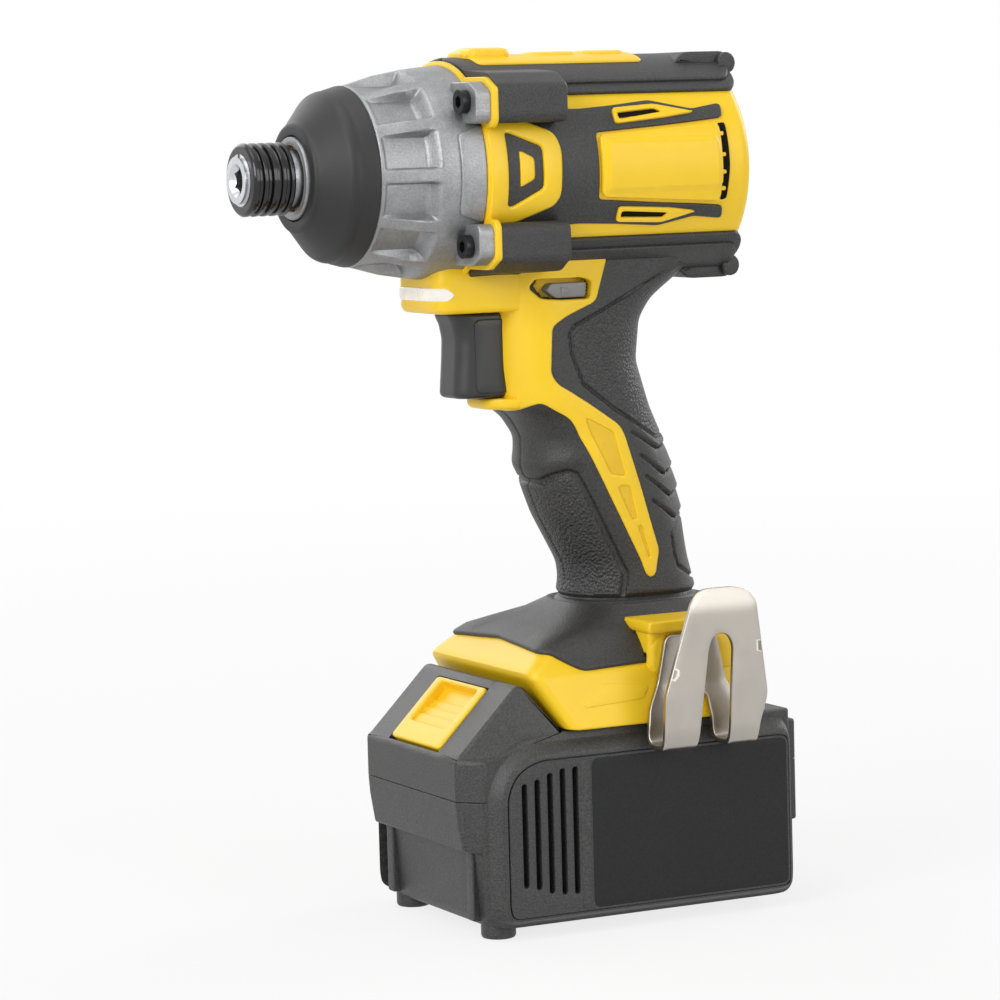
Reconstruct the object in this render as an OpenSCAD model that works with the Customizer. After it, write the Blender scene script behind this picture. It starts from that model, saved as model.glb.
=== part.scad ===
// Cordless impact driver with a slide-on battery, as a set of separate pieces.
// The drive axis runs along X with the nose at -X, Z is up, the feet stand on z = 0,
// and the two housing halves meet in the plane y = 0.

/* [Layout] */
// Height of the drive axis above the base plane
axis_z = 207.5; // [206:0.5:210]
// X of the plane where the hammer case meets the motor housing
split_x = -37.5; // [-38.5:0.5:-36.5]
// Height of the plane where the foot meets the battery
foot_z = 56; // [55.5:0.1:56.5]
// Height of the foot, from the battery up to the neck of the handle
foot_h = 32; // [31:0.5:34]

/* [Motor housing] */
// Radius of the yellow barrel
barrel_r = 29.3; // [29:0.1:30]
// Length of the barrel behind the hammer case
barrel_len = 81; // [80:0.5:84]
// Bulge of the barrel's rear cap
cap_len = 5; // [3:0.5:8]
// Radius of the bore that holds stator and gearbox
barrel_bore_r = 25.8; // [25.7:0.1:26.5]
// Thickness of the rubber overmould
skin_t = 1.1; // [0.8:0.1:1.4]
// Distance of the case screws from the middle plane
ear_y = 27; // [26.5:0.1:27.5]
// Distance of the case screws above and below the axis
ear_z = 19.3; // [19:0.1:20]
// Length of the screw towers
tower_len = 22; // [20:0.5:24]
// Half height of a screw tower
tower_half_h = 5.4; // [5:0.1:6]
// Half width of the top strip
strip_half_w = 12; // [10:0.5:13]
// Thickness of the top strip
strip_t = 1.3; // [1:0.1:2]
// Length of the top strip
strip_len = 56; // [50:1:60]
// Height of the knob on the top strip
knob_h = 2.2; // [1:0.1:3]

/* [Handle] */
// Depth that the outline of the handle is drawn in
handle_reach = 50; // [48:0.5:52]
// Half width of the handle at the trigger
handle_half_w = 17; // [16.5:0.1:18]
// Drop from the drive axis to the top of the handle
handle_drop = 21.5; // [20:0.5:23]
// Half width of the fore grip
fore_half_w = 14; // [13:0.5:15]
// Length of the foot
foot_len = 76.5; // [75:0.5:80]
// Half width of the foot at the battery
foot_half_w = 36; // [35.5:0.1:37]

/* [Hammer case] */
// Length of the bare part of the case
case_len = 28; // [27:0.5:30]
// Radius of the case at the housing
case_rear_r = 29.5; // [29:0.1:30]
// Radius of the case behind its ribs
case_mid_r = 28.6; // [28:0.1:29]
// Radius of the case at the boot
case_front_r = 24.4; // [24.2:0.1:25]
// Radius of the hammer room in the case
case_bore_r = 22; // [21.7:0.1:22.3]
// Length of the nose in front of the bare part
nose_len = 15.9; // [15:0.1:17]
// Outer radius of the nose tube
nose_r = 11.2; // [10.8:0.1:11.6]
// Number of ribs round the case
rib_count = 12; // [8:1:14]
// Length of the spigot that goes into the housing
spigot_len = 17; // [16.5:0.1:17.5]
// Thickness of the rubber boot
boot_t = 2; // [1.5:0.1:2.5]

/* [Anvil and collar] */
// Size across the flats of the hex socket
hex_af = 6.35; // [6.3:0.05:6.5]
// Radius of the anvil at the socket
anvil_r = 6.35; // [6.2:0.05:6.5]
// Radius of the anvil in its bush
journal_r = 7.3; // [7.2:0.1:7.6]
// Length of the anvil in front of the nose
anvil_reach = 17.1; // [16.5:0.1:18]
// Outer radius of the bit collar
collar_r = 9.85; // [9.6:0.05:10.2]
// Length of the bit collar
collar_len = 12.3; // [12:0.1:12.8]
// Travel of the bit collar
collar_travel = 4; // [3:0.5:4.5]
// Radius of the detent balls
detent_r = 1.75; // [1.6:0.05:1.9]

/* [Impact mechanism] */
// Radius of the hammer
hammer_r = 20.8; // [20:0.1:21.2]
// Length of the hammer behind its front face
hammer_len = 15; // [14:0.5:15.5]
// Travel of the hammer against its spring
hammer_travel = 6; // [4:0.5:6.5]
// Radius of the spindle
spindle_r = 8; // [7.8:0.1:8.2]
// Radius of the cam balls
cam_ball_r = 2.3; // [2.1:0.1:2.5]
// Wire of the hammer spring
hammer_wire = 2.4; // [2:0.1:2.6]
// Mean radius of the hammer spring
hammer_spring_r = 14.4; // [14.2:0.1:14.6]

/* [Gears] */
// Module of the gears
gear_m = 0.9; // [0.89:0.01:0.91]
// Width of the planet gears
planet_w = 6.4; // [6:0.1:6.6]
// Play between meshing teeth
backlash = 0.22; // [0.15:0.01:0.3]

/* [Motor] */
// Outer radius of the stator
stator_r = 25.5; // [25:0.1:25.6]
// Inner radius of the stator
stator_bore_r = 12.6; // [12.4:0.1:13]
// Length of the stator
stator_len = 18; // [16:0.5:19]
// Radius of the motor shaft
shaft_r = 3; // [2.9:0.05:3.1]
// Radius of the fan
fan_r = 23; // [21:0.5:24]

/* [Trigger] */
// Width of the trigger
trigger_w = 18; // [17:0.5:19]
// Height of the trigger
trigger_h = 23.4; // [22:0.2:24]
// Travel of the trigger
trigger_travel = 7; // [5:0.5:7.5]
// Travel of the direction selector to each side
selector_travel = 2.5; // [2:0.1:3]

/* [Battery] */
// Half width of the battery
pack_half_w = 36; // [35.5:0.1:37]
// Length of the battery
pack_len = 102; // [101:0.5:104]
// Height of the seam between the two cases
seam_z = 38.5; // [38:0.1:39.5]
// Height of the feet
foot_pad_h = 4; // [3:0.1:4.5]
// Half width of the battery's front face
front_half_w = 28; // [27:0.5:29]
// Wall of the battery cases
pack_wall = 2.2; // [2:0.1:2.4]
// Half width of the release button
button_half_w = 15; // [14:0.5:16]
// Travel of the release button
button_travel = 4; // [3:0.5:4.5]
// Radius of a cell
cell_r = 8.9; // [8.8:0.05:9]
// Length of a cell
cell_len = 65; // [64:0.5:65.5]

/* [Belt hook] */
// Thickness of the hook's sheet
hook_t = 1.6; // [1.4:0.1:1.8]
// Width of the hook at its feet
hook_w = 33; // [31:0.5:34]
// Height of the hook
hook_h = 44; // [42:0.5:45]

/* [Hidden] */
$fn = 48;

// Shared clearances and overruns
over = 1;
sliver = 0.02;
run_gap = 0.3;
fit_gap = 0.1;
shaft_gap = 0.03;

// Places along the drive axis
case_front_x = split_x - case_len;
nose_front_x = case_front_x - nose_len;
front_wall_t = 2.3;
wall_x = case_front_x + front_wall_t;
tip_x = nose_front_x - anvil_reach;
thrust_t = 0.6;
flange_x = wall_x + thrust_t + run_gap;
flange_t = 3.6;
wing_len = 5.8;
hammer_x = flange_x + wing_len + run_gap + run_gap;
spigot_x = split_x + spigot_len;
barrel_rear_x = split_x + barrel_len;
cap_round = 2.5;
bore_rear_x = barrel_rear_x - cap_round;

// Places of the gearbox
carrier_t = 2.2;
planet_gap = 0.3;
planet_x = spigot_x - carrier_t - planet_gap - planet_w;
carrier_front_x = planet_x - planet_gap - carrier_t;
seat_t = 1;
seat_x = carrier_front_x - seat_t;
bearing_w = 5;
spindle_bearing_x = spigot_x + planet_gap + planet_gap;
spindle_bearing_r = 13;
hub_r = 8.5;
plate_web_t = 1.5;
motor_bearing_x = spindle_bearing_x + bearing_w + plate_web_t;
motor_bearing_r = 8.5;
plate_rear_x = motor_bearing_x + bearing_w;

// Places of the motor: the stator and its bearings leave this room in the barrel, shared out along the shaft
motor_room = bore_rear_x - plate_rear_x - stator_len - bearing_w;
motor_gap_share = 0.19;
coil_reach_share = 0.6;
fan_gap_share = 0.265;
fan_len_share = 0.34;
rear_gap_share = 0.15;
motor_gap = motor_gap_share * motor_room;
stator_x = plate_rear_x + motor_gap;
stator_rear_x = stator_x + stator_len;
coil_reach = coil_reach_share * motor_gap;
fan_x = stator_rear_x + fan_gap_share * motor_room;
fan_len = fan_len_share * motor_room;
fan_plate_t = 1.2;
rear_bearing_x = fan_x + fan_len + rear_gap_share * motor_room;
shaft_rear_x = rear_bearing_x + bearing_w;

// Gear counts and radii
sun_teeth = 9;
planet_teeth = 18;
ring_teeth = 45;
planet_count = 3;
pressure = 25;
sun_pitch_r = gear_m * sun_teeth / 2;
planet_pitch_r = gear_m * planet_teeth / 2;
ring_pitch_r = gear_m * ring_teeth / 2;
gear_centre = sun_pitch_r + planet_pitch_r;
tip_share = 0.8;
root_share = 1.12;
addendum = gear_m * tip_share;
dedendum = gear_m * root_share;
ring_wall = 2.4;
ring_outer_r = ring_pitch_r + dedendum + ring_wall;
spigot_bore_r = ring_outer_r + fit_gap;
planet_bore_r = 2.5;

// Towers, ears and screws of the hammer case
screw_r = 2;
screw_head_r = 3.2;
screw_head_h = 2.6;
ear_t = 5;
ear_r = 4.6;
screw_len = 20;

// Handle: stations from the foot to the barrel. Each row has the height as a share of the handle,
// front and back as shares of handle_reach, half width and corner as shares of handle_half_w.
handle_bottom_z = foot_z + foot_h;
handle_h = axis_z - handle_drop - handle_bottom_z;
handle_shares = [
    [-0.02, -0.046, 0.73, 0.95, 0.92], [0.05, -0.022, 0.694, 0.93, 0.9], [0.1, -0.034, 0.668, 0.92, 0.89],
    [0.163, -0.1, 0.648, 0.93, 0.9], [0.245, -0.186, 0.628, 0.95, 0.92],
    [0.327, -0.246, 0.598, 0.97, 0.94], [0.408, -0.282, 0.548, 0.98, 0.94],
    [0.469, -0.278, 0.498, 0.99, 0.94], [0.54, -0.36, 0.424, 1, 0.85], [0.565, -0.45, 0.402, 1, 0.8],
    [0.673, -0.48, 0.338, 1, 0.8], [0.796, -0.48, 0.366, 1, 0.8], [0.857, -0.48, 0.444, 1.01, 0.8],
    [0.918, -0.48, 0.61, 1.03, 0.8], [1, -0.48, 0.82, 1.05, 0.8]
];
// Foot: height as a share of foot_h, front and back as shares of foot_len from the front edge,
// half width as a share of foot_half_w, corner as a share of foot_half_w
foot_front_x = -32.3;
foot_shares = [
    [0, 0.14, 1, 1, 0.2], [0.46, 0, 1, 0.9, 0.2], [0.5, 0, 1, 0.87, 0.2], [0.7, 0.1, 0.99, 0.74, 0.2],
    [0.86, 0.22, 0.955, 0.58, 0.25], [1, 0.39, 0.89, 0.46, 0.38]
];

// Rubber outlines in the side view, as shares of barrel_len from the split and of barrel_r from the axis
window_shares = [[0, 0.5], [0.09, 0.5], [0.235, 0.36], [0.255, 0.24]];
window_dark_shares = [[0.06, 0.37], [0.185, 0.21]];
window_core_shares = [[0.105, 0.2], [0.155, 0.12]];
frame_shares = [[0.29, 0.69], [0.96, 0.69], [0.985, 0.6]];
yoke_shares = [
    [0.255, 0.6], [0.285, 0.58], [0.6, 0.64], [0.73, 0.55], [0.86, 0.585], [0.863, 0.475], [0.7, 0.415],
    [0.4, 0.345]
];
vent_rim_shares = [[0.45, 0.55], [0.595, 0.59], [0.765, 0.505], [0.6, 0.47], [0.475, 0.43]];
vent_shares = [[0.47, 0.515], [0.62, 0.55], [0.65, 0.5], [0.485, 0.445]];
// Yellow front of the handle, as shares of handle_reach and of the handle's height
stripe_shares = [
    [-0.7, 0.955], [0.06, 0.955], [0.008, 0.851], [-0.184, 0.81], [-0.26, 0.785], [-0.274, 0.652],
    [-0.236, 0.62], [0.136, 0.5], [0.168, 0.471], [0.37, 0.133], [0.342, 0.063], [0.29, 0.063],
    [0.256, 0.11], [-0.128, 0.506], [-0.174, 0.534], [-0.362, 0.573], [-0.7, 0.56]
];
// Where the barrel and the handle carry rubber at all
barrel_skin_shares = [[0.02, 1.15], [0.97, 1.15]];
handle_skin_shares = [[-0.7, 0.003], [0.9, 0.003], [0.9, 0.993], [-0.7, 0.993]];
// Rubber top of the foot, as shares of foot_len and foot_h
foot_top_shares = [[-0.2, 0.72], [0.11, 0.72], [0.24, 0.51], [1.2, 0.52], [1.2, 1.02], [-0.2, 1.02]];
rear_slot_share = 0.885;
slot_w = 2.2;
slot_pitch_share = 0.14;
slot_half_h = 1.3;

// Fore grip and lamp
fore_len = 8.5;
fore_drop = 38;
fore_h = 12;
fore_corner = 6;
lens_h = 5;
lens_rise = 2.2;
lens_t = 2.4;
lens_wrap = 5;
lamp_board_t = 1;
fore_front_x = split_x - fore_len;
fore_bottom_z = axis_z - fore_drop;
fore_rear_share = -0.48;
fore_rear_x = fore_rear_share * handle_reach;

// Trigger, switch and selector
trigger_gap = 0.4;
trigger_top_z = fore_bottom_z - trigger_gap;
trigger_bottom_z = trigger_top_z - trigger_h;
trigger_front_x = -36;
trigger_len = 16;
trigger_dish_r = 24;
trigger_dish = 2.4;
stem_r = 2.5;
stem_len = 15;
trigger_rear_x = trigger_front_x + trigger_len;
switch_gap = 12;
switch_x = trigger_rear_x + switch_gap;
switch_len = 20.6;
switch_h = 20;
switch_w = 19;
switch_z = trigger_bottom_z + (trigger_h - switch_h) / 2;
stem_z = trigger_bottom_z + trigger_h / 2;
trigger_wire = 0.7;
trigger_spring_r = 4;
guard_len = 8;
guard_h = 2.8;
selector_x = -15;
selector_len = 12;
selector_h = 5;
selector_rise = 2.8;
selector_z = trigger_top_z + selector_rise;
proud_share = 0.32;
selector_proud = selector_travel * proud_share;

// Foot, rails and electric parts
rail_half_w = 23;
rail_h = 13;
lip_h = 3.4;
lip_w = 3;
rail_front_x = foot_front_x - over;
rail_rear_x = 40;
slide_gap = 0.35;
block_x = 12;
block_len = 24;
block_half_w = 16;
block_h = 4.4;
blade_t = 0.8;
blade_w = 16;
blade_h = 7;
blade_shares = [-0.75, -0.25, 0.25, 0.75];
board_x = -4;
board_len = 40;
board_half_w = 14;
board_h = 7;
board_z = foot_z + rail_h + block_h + run_gap;
lead_r = 2.6;
lead_top_x = 2;
lead_bottom_x = 14;

// Hook boss on each side of the foot, with its threaded insert
boss_x = 3;
boss_len = 31;
boss_y = 34;
boss_z = 63;
boss_h = 17;
boss_lip_h = 3.4;
boss_lip = 1.4;
insert_r = 2.9;
insert_bore_r = 1.7;
insert_len = 8;
insert_x = boss_x + boss_len / 2;
insert_share = 0.65;
insert_z = boss_z + boss_h * insert_share;

// Battery
pack_front_x = -52;
pack_rear_x = pack_front_x + pack_len;
pack_top_z = foot_z - slide_gap;
chamfer_x = 9;
slope_h = 19;
slope_z = 49.5;
slope_top_z = slope_z + slope_h;
chin = 4;
chin_z = 23;
block_front = 3.3;
pad_r = 4.8;
pad_x = 36;
pad_y = 27;
tongue_half_w = rail_half_w - slide_gap;
tongue_neck = lip_w + slide_gap;
panel_x = -36;
panel_len = 80;
panel_bottom_z = 8.5;
panel_top_z = 49.3;
panel_proud = 0.8;
groove_count = 5;
groove_pitch = 4.2;
groove_w = 1.6;
cell_rows = 2;
cell_columns = 5;
cell_end_room = 10.75;
cell_pitch = (pack_len - cell_end_room) / cell_columns;
cell_shift = 3;
cell_mid_x = (pack_front_x + pack_rear_x) / 2 + cell_shift;
cell_bottom_z = foot_pad_h + pack_wall + run_gap;
holder_t = 2;
button_t = 6;
latch_wire = 0.6;
latch_spring_r = 3;
latch_spring_len = 11;
rear_rib_x = 10;
rear_rib_half_w = 20;

// Belt hook: side outline as shares of hook_w and hook_h, from the hook's left foot
hook_x = boss_x - boss_lip;
hook_drop = 13.5;
hook_reach = 14.7;
hook_z = boss_z - hook_drop;
hook_inner_y = boss_y + fit_gap;
hook_shares = [
    [0, -0.03], [0.02, 0.34], [0.28, 0.92], [0.33, 0.97], [0.42, 1.02], [0.7, 1.02], [0.84, 0.98],
    [0.9, 0.92], [1, 0.3], [0.89, -0.03], [0.62, -0.03], [0.64, 0.44], [0.61, 0.57], [0.54, 0.63],
    [0.47, 0.63], [0.42, 0.57], [0.33, -0.03]
];
// Middle line of the bent sheet seen along X, below its seat on the boss, as shares of hook_reach and hook_h
hook_seat_share = 0.17;
hook_bend_shares = [
    [0.278, 0.15], [0.278, 0.1], [0.33, 0.055], [0.45, 0.022], [0.6, 0.018],
    [0.76, 0.022], [0.86, 0.055], [0.912, 0.11], [0.912, 0.88], [0.86, 0.99]
];

// Housing screws: places as shares of handle_reach and of the height from the foot to the axis
screw_place_shares = [[-0.13, 0.523], [0.315, 0.54], [0.464, 0.373], [0.53, 0.25], [0.81, 0.14], [-0.32, 0.13]];
case_pin_r = 1.6;
case_pin_len = 20;
case_pin_head_r = 3;
case_pin_head_h = 2.4;
case_pin_y = 10;

function at_barrel(s) = [split_x + s[0] * barrel_len, axis_z + s[1] * barrel_r];
function flipped(s) = [s[0], -s[1]];
function both_sides(shares) =
    concat(shares, [for (i = [len(shares) - 1 : -1 : 0]) flipped(shares[i])]);
function at_handle(s) = [s[0] * handle_reach, handle_bottom_z + s[1] * handle_h];
function at_foot(s) = [foot_front_x + s[0] * foot_len, foot_z + s[1] * foot_h];
function at_hook(s) = [hook_x + s[0] * hook_w, hook_z + s[1] * hook_h];
function at_bend(s) = [-hook_inner_y - s[0] * hook_reach, hook_z + s[1] * hook_h];
// Outline of a sheet of thickness t along a line of points
function unit(v) = v / norm(v);
function leg(points, i) = unit(points[min(i, len(points) - 2) + 1] - points[min(i, len(points) - 2)]);
function mitre(points, i) =
    let (a = leg(points, max(i - 1, 0)), b = leg(points, i), t = (a + b) / (1 + a * b)) [-t[1], t[0]];
function stroke(points, t) =
    concat(
        [for (i = [0 : len(points) - 1]) points[i] + mitre(points, i) * t / 2],
        [for (i = [len(points) - 1 : -1 : 0]) points[i] - mitre(points, i) * t / 2]
    );
function at_screw(s) = [s[0] * handle_reach, foot_z + s[1] * (axis_z - foot_z)];

// Shapes along the drive axis: local z becomes X
module along_x(x) { translate([x, 0, axis_z]) rotate([0, 90, 0]) children(); }
module disc(x, length, r) { along_x(x) cylinder(h = length, r = r); }
module ring(x, length, inner_r, outer_r) {
    difference() {
        disc(x, length, outer_r);
        disc(x - over, length + 2 * over, inner_r);
    }
}
module turned(points) { along_x(0) rotate_extrude() polygon(points); }
// A side outline carried through the tool along Y, about the plane y = 0
module side_prism(half_w) { rotate([90, 0, 0]) linear_extrude(2 * half_w, center = true) children(); }
// A box from x0 to x1 and z0 to z1, about the plane y = 0
module mid_box(x0, x1, half_w, z0, z1) {
    translate([x0, -half_w, z0]) cube([x1 - x0, 2 * half_w, z1 - z0]);
}
recess_share = 0.17;
module bearing(x, inner_r, outer_r) {
    mid_r = (inner_r + outer_r) / 2;
    recess = (outer_r - inner_r) * recess_share;
    difference() {
        ring(x, bearing_w, inner_r, outer_r);
        ring(x - over, over + recess, mid_r - recess, mid_r + recess);
        ring(x + bearing_w - recess, over + recess, mid_r - recess, mid_r + recess);
    }
}
// A coil spring from z = 0 to length: six-sided wire, eight rings a turn
coil_sides = 6;
coil_steps = 8;
module coil(r, wire, length, turns) {
    rings = turns * coil_steps;
    points = [
        for (i = [0 : rings]) let (a = 360 * i / coil_steps, z = wire / 2 + (length - wire) * i / rings)
            for (k = [0 : coil_sides - 1]) let (b = 360 * k / coil_sides, q = r + wire / 2 * cos(b))
                [q * cos(a), q * sin(a), z + wire / 2 * sin(b)]
    ];
    sides = [
        for (i = [0 : rings - 1]) for (k = [0 : coil_sides - 1])
            let (n = (k + 1) % coil_sides, p = i * coil_sides, q = p + coil_sides)
                each [[p + k, q + k, q + n], [p + k, q + n, p + n]]
    ];
    first = [for (k = [0 : coil_sides - 1]) k];
    last = [for (k = [coil_sides - 1 : -1 : 0]) rings * coil_sides + k];
    polyhedron(points, concat(sides, [first, last]));
}

// Involute gear outlines
function involute(a) = tan(a) * 180 / PI - a;
function flank(r, teeth, play) =
    let (pitch_r = gear_m * teeth / 2, base_r = pitch_r * cos(pressure))
    90 / teeth - play * 45 / PI / pitch_r + involute(pressure) - involute(acos(min(1, base_r / r)));
flank_steps = 3;
module gear_outline(teeth, root_r, tip_r, play) {
    step = (tip_r - root_r) / flank_steps;
    polygon([
        for (t = [0 : teeth - 1]) for (side = [-1, 1]) for (i = [0 : flank_steps])
            let (r = side < 0 ? root_r + i * step : tip_r - i * step)
            let (a = 360 * t / teeth + side * flank(r, teeth, play))
                [r * cos(a), r * sin(a)]
    ]);
}

// Outer forms of the housing: grow is 0 for the yellow shell and skin_t for the rubber on it
corner_steps = 6;
function corner_points(x, y, r, start) =
    [for (i = [0 : corner_steps]) let (a = start + 90 * i / corner_steps) [x + r * cos(a), y + r * sin(a)]];
function section(front, back, half_w, corner) =
    concat(
        corner_points(back - corner, half_w - corner, corner, 0),
        corner_points(front + corner, half_w - corner, corner, 90),
        corner_points(front + corner, corner - half_w, corner, 180),
        corner_points(back - corner, corner - half_w, corner, 270)
    );
// A closed skin over level sections, from the lowest to the highest
module loft(sections, heights) {
    n = len(sections[0]);
    last = len(sections) - 1;
    points = [for (i = [0 : last]) for (p = sections[i]) [p[0], p[1], heights[i]]];
    sides = [
        for (i = [0 : last - 1]) for (k = [0 : n - 1])
            let (m = (k + 1) % n, p = i * n, q = p + n)
                each [[p + k, q + k, q + m], [p + k, q + m, p + m]]
    ];
    bottom = [for (k = [0 : n - 1]) k];
    top = [for (k = [n - 1 : -1 : 0]) last * n + k];
    polyhedron(points, concat(sides, [bottom, top]));
}
module handle_form(grow) {
    loft(
        [for (s = handle_shares) section(s[1] * handle_reach - grow, s[2] * handle_reach + grow,
            s[3] * handle_half_w + grow, s[4] * handle_half_w)],
        [for (s = handle_shares) handle_bottom_z + s[0] * handle_h]
    );
}
module foot_form(grow) {
    loft(
        [for (s = foot_shares) section(at_foot([s[1], 0])[0] - grow, at_foot([s[2], 0])[0] + grow,
            s[3] * foot_half_w + grow, s[4] * foot_half_w)],
        [for (s = foot_shares) foot_z + s[0] * foot_h]
    );
}
cap_share = 0.7;
module barrel_form(grow) {
    r = barrel_r + grow;
    turned([
        [0, split_x], [r, split_x], [r, barrel_rear_x - cap_round], [r - cap_round, barrel_rear_x],
        [r * cap_share, barrel_rear_x + cap_len * cap_share], [0, barrel_rear_x + cap_len]
    ]);
}
tower_in = 9;
tower_out = 5.9;
tower_bevel = 2.2;
module tower_outline(grow) {
    offset(delta = grow)
        polygon([
            [-tower_in, -tower_half_h], [tower_out, -tower_half_h],
            [tower_out, tower_half_h - tower_bevel], [tower_out - tower_bevel, tower_half_h],
            [-tower_in, tower_half_h]
        ]);
}
module tower_form(grow) {
    for (side = [-1, 1]) for (level = [-1, 1])
        translate([split_x, side * ear_y, axis_z + level * ear_z])
            rotate([90, 0, 90]) scale([side, level, 1])
                hull() {
                    linear_extrude(tower_len - tower_bevel) tower_outline(grow);
                    linear_extrude(tower_len + grow) tower_outline(grow - tower_bevel);
                }
}
module fore_form(inset) {
    translate([fore_front_x + fore_corner, 0, fore_bottom_z]) linear_extrude(fore_h)
        offset(r = fore_corner - inset, $fn = 24)
            translate([0, fore_corner - fore_half_w])
                square([fore_rear_x - fore_front_x, 2 * (fore_half_w - fore_corner)]);
}
module guard_form() {
    half_w = fore_half_w - guard_h;
    z = trigger_bottom_z - trigger_gap;
    hull() {
        mid_box(fore_rear_x, fore_rear_x + guard_len, half_w, z - 2 * guard_h, z);
        mid_box(fore_rear_x - guard_len, fore_rear_x, half_w - guard_h, z - guard_h, z);
    }
}
boss_round = 5;
module boss_form() {
    for (side = [-1, 1]) {
        hull()
            for (x = [boss_x + boss_round, boss_x + boss_len - boss_round])
                translate([x, side * (boss_y - boss_round), boss_z]) {
                    cylinder(h = boss_h, r = boss_round, $fn = 24);
                    translate([0, -side * boss_round, 0]) cylinder(h = boss_h, r = boss_round, $fn = 24);
                }
        hull()
            for (x = [boss_x, boss_x + boss_len]) for (y = [boss_y + boss_lip, boss_y - boss_round])
                translate([x, side * y - side * boss_lip, boss_z + boss_h])
                    cylinder(h = boss_lip_h, r = boss_lip, $fn = 24);
    }
}
module all_forms(grow) {
    barrel_form(grow);
    tower_form(grow);
    handle_form(grow);
    foot_form(grow);
}

// Rooms inside the housing
module vent_cuts() {
    side_prism(pack_half_w) polygon([for (s = vent_shares) at_barrel(s)]);
    side_prism(pack_half_w) polygon([for (s = vent_shares) at_barrel(flipped(s))]);
    slot_x = at_barrel([rear_slot_share, 0])[0];
    for (i = [-2 : 2])
        translate([0, 0, axis_z + i * slot_pitch_share * barrel_r])
            mid_box(slot_x - slot_w / 2, slot_x + slot_w / 2, pack_half_w, -slot_half_h, slot_half_h);
}
module case_screw_places() {
    for (side = [-1, 1]) for (level = [-1, 1])
        translate([0, side * ear_y, level * ear_z]) children();
}
module housing_screw_places() {
    for (s = screw_place_shares) translate([at_screw(s)[0], 0, at_screw(s)[1]]) children();
}
module lead_path(r) {
    reach_z = switch_z - board_z - board_h;
    lean = atan2(lead_top_x - lead_bottom_x, reach_z);
    translate([lead_bottom_x, 0, board_z + board_h]) rotate([0, lean, 0])
        translate([0, 0, -stem_len]) cylinder(h = reach_z + 2 * stem_len, r = r);
}
module foot_rooms() {
    mid_box(rail_front_x, rail_rear_x, rail_half_w - lip_w, foot_z - over, foot_z + rail_h);
    mid_box(rail_front_x, rail_rear_x, rail_half_w, foot_z + lip_h, foot_z + rail_h);
    mid_box(rail_front_x, foot_front_x + chamfer_x, latch_half_w + run_gap,
        foot_z + rail_h - over, latch_top_z + run_gap);
    mid_box(block_x - fit_gap, block_x + block_len + fit_gap, block_half_w + fit_gap,
        foot_z + rail_h - over, board_z);
    mid_box(board_x - fit_gap, board_x + board_len + fit_gap, board_half_w + fit_gap,
        board_z - sliver, board_z + board_h + fit_gap);
    intersection() {
        lead_path(lead_r + run_gap);
        mid_box(board_x, board_x + board_len, board_half_w, board_z + board_h, switch_z + over);
    }
}
module handle_rooms() {
    mid_box(fore_rear_x - over, switch_x - run_gap, trigger_w / 2 + run_gap,
        trigger_bottom_z - trigger_gap, trigger_top_z + trigger_gap);
    mid_box(switch_x - run_gap - over, switch_x + switch_len + fit_gap, switch_w / 2 + fit_gap,
        switch_z - fit_gap, switch_z + switch_h + fit_gap);
    mid_box(selector_x - fit_gap, selector_x + selector_len + fit_gap, pack_half_w,
        selector_z - fit_gap, selector_z + selector_h + fit_gap);
}
module lens_band(gap) {
    difference() {
        mid_box(fore_front_x - over, fore_front_x + lens_wrap + gap, pack_half_w,
            fore_bottom_z + lens_rise - gap, fore_bottom_z + lens_rise + lens_h + gap);
        fore_form(lens_t + gap);
    }
}
module lamp_room(gap) {
    mid_box(fore_front_x + lens_t - gap - over, fore_front_x + lens_t + lamp_board_t + gap,
        fore_half_w / 2 + gap, fore_bottom_z + lens_rise - gap, fore_bottom_z + lens_rise + lens_h + gap);
}
boss_ring_t = 2.6;
module housing_body() {
    difference() {
        union() {
            all_forms(0);
            fore_form(0);
            guard_form();
            boss_form();
        }
        disc(split_x - over, bore_rear_x - split_x + over, barrel_bore_r);
        disc(case_front_x, case_len, case_rear_r + fit_gap);
        translate([0, 0, axis_z]) case_screw_places()
            rotate([0, 90, 0]) translate([0, 0, split_x - over])
                cylinder(h = screw_len, r = screw_r + fit_gap, $fn = 24);
        vent_cuts();
        foot_rooms();
        handle_rooms();
        lens_band(fit_gap);
        lamp_room(fit_gap);
        for (side = [-1, 1]) translate([insert_x, side * boss_y, insert_z]) rotate([90, 0, 0])
            cylinder(h = 2 * insert_len, r = insert_r + fit_gap, center = true, $fn = 24);
        housing_screw_places() rotate([90, 0, 0]) {
            cylinder(h = case_pin_len + fit_gap, r = case_pin_r + fit_gap, center = true, $fn = 24);
            translate([0, 0, -case_pin_y - pack_half_w])
                cylinder(h = pack_half_w, r = case_pin_head_r + run_gap, $fn = 24);
        }
    }
    ring(rear_bearing_x, bore_rear_x - rear_bearing_x + over,
        motor_bearing_r + fit_gap, motor_bearing_r + boss_ring_t);
}
module half(side) {
    translate([split_x - barrel_len, side < 0 ? -axis_z : 0, 0]) cube([3 * barrel_len, axis_z, 2 * axis_z]);
}
module left_housing() { color("gold") intersection() { housing_body(); half(-1); } }
module right_housing() { color("gold") intersection() { housing_body(); half(1); } }

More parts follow.
